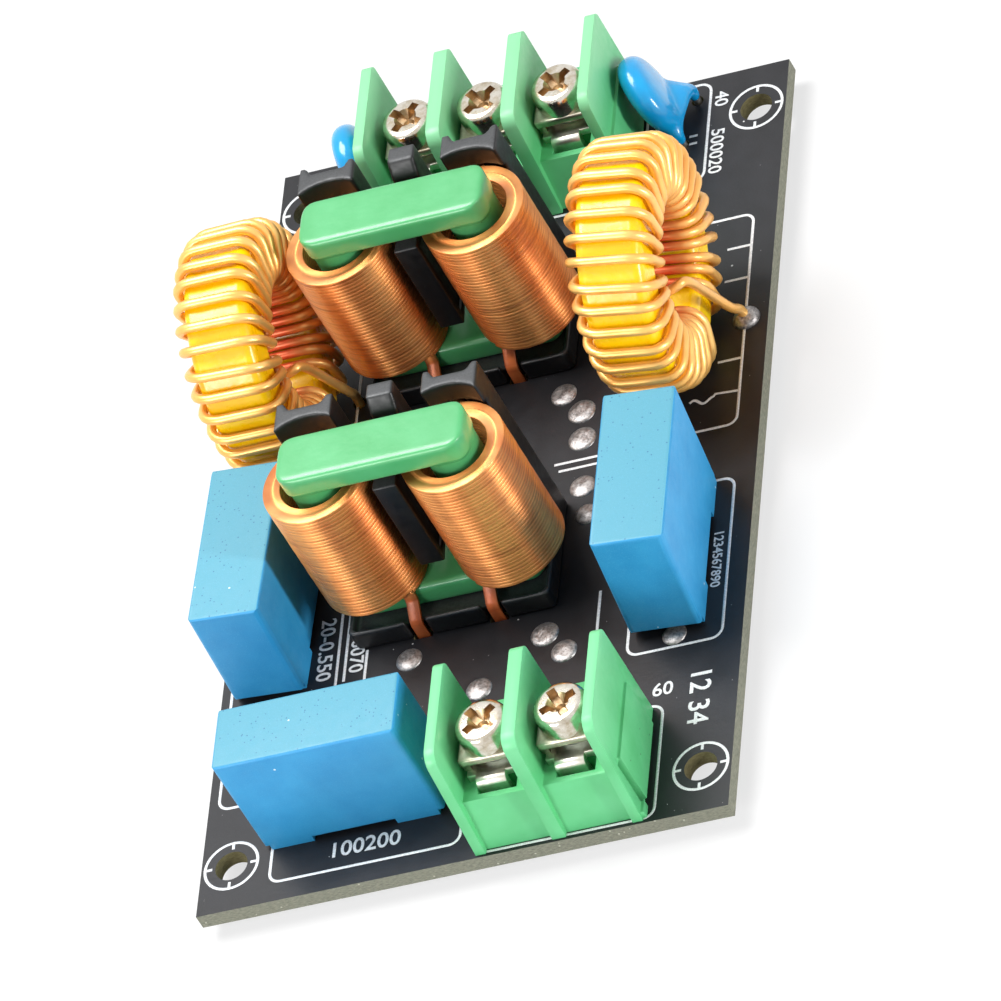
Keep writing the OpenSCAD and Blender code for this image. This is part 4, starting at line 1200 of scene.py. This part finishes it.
soft_lamp("overhead", (-0.22, 0.12, 0.57), (0.36, 0.34), 5.0)
soft_lamp("front_left", (-0.30, -0.54, 0.28), (0.24, 0.22), 2.2)
soft_lamp("right", (0.60, -0.22, 0.17), (0.05, 0.26), 2.8)


def white_to_the_eye(tree, lit, white, output, strength):
    """Mixes a lit shader with a white one, by strength, for what the eye, gloss and glass see."""
    path = tree.nodes.new("ShaderNodeLightPath")

    def math_node(operation, first, second=None):
        made = tree.nodes.new("ShaderNodeMath")
        made.operation = operation
        tree.links.new(first, made.inputs[0])
        if second:
            tree.links.new(second, made.inputs[1])
        return made

    either = math_node("MAXIMUM", path.outputs["Is Camera Ray"], path.outputs["Is Glossy Ray"])
    seen = math_node("MAXIMUM", either.outputs[0], path.outputs["Is Transmission Ray"])
    share = math_node("MULTIPLY", seen.outputs[0])
    share.inputs[1].default_value = strength
    mix = tree.nodes.new("ShaderNodeMixShader")
    tree.links.new(share.outputs[0], mix.inputs[0])
    tree.links.new(lit.outputs[0], mix.inputs[1])
    tree.links.new(white.outputs[0], mix.inputs[2])
    tree.links.new(mix.outputs[0], tree.nodes[output].inputs["Surface"])


world = bpy.data.worlds.new("studio")
bpy.context.scene.world = world
world.use_nodes = True
sky = world.node_tree
lit = sky.nodes["Background"]
lit.inputs["Color"].default_value = (0.90, 0.93, 0.96, 1)
lit.inputs["Strength"].default_value = 0.2
white = sky.nodes.new("ShaderNodeBackground")
white.inputs["Color"].default_value = (1, 1, 1, 1)
white_to_the_eye(sky, lit, white, "World Output", 1.0)

bpy.ops.mesh.primitive_plane_add(size=6, location=(0, 0, -0.0001))
floor = bpy.context.object
floor.name = "floor"
paper = bpy.data.materials.new("floor_paper")
paper.use_nodes = True
tree = paper.node_tree
matt = tree.nodes["Principled BSDF"]
matt.inputs["Base Color"].default_value = (0.88, 0.88, 0.88, 1)
matt.inputs["Roughness"].default_value = 0.9
glow = tree.nodes.new("ShaderNodeEmission")
white_to_the_eye(tree, matt, glow, "Material Output", 0.7)
floor.data.materials.append(paper)

bpy.context.scene.view_settings.view_transform = "Standard"
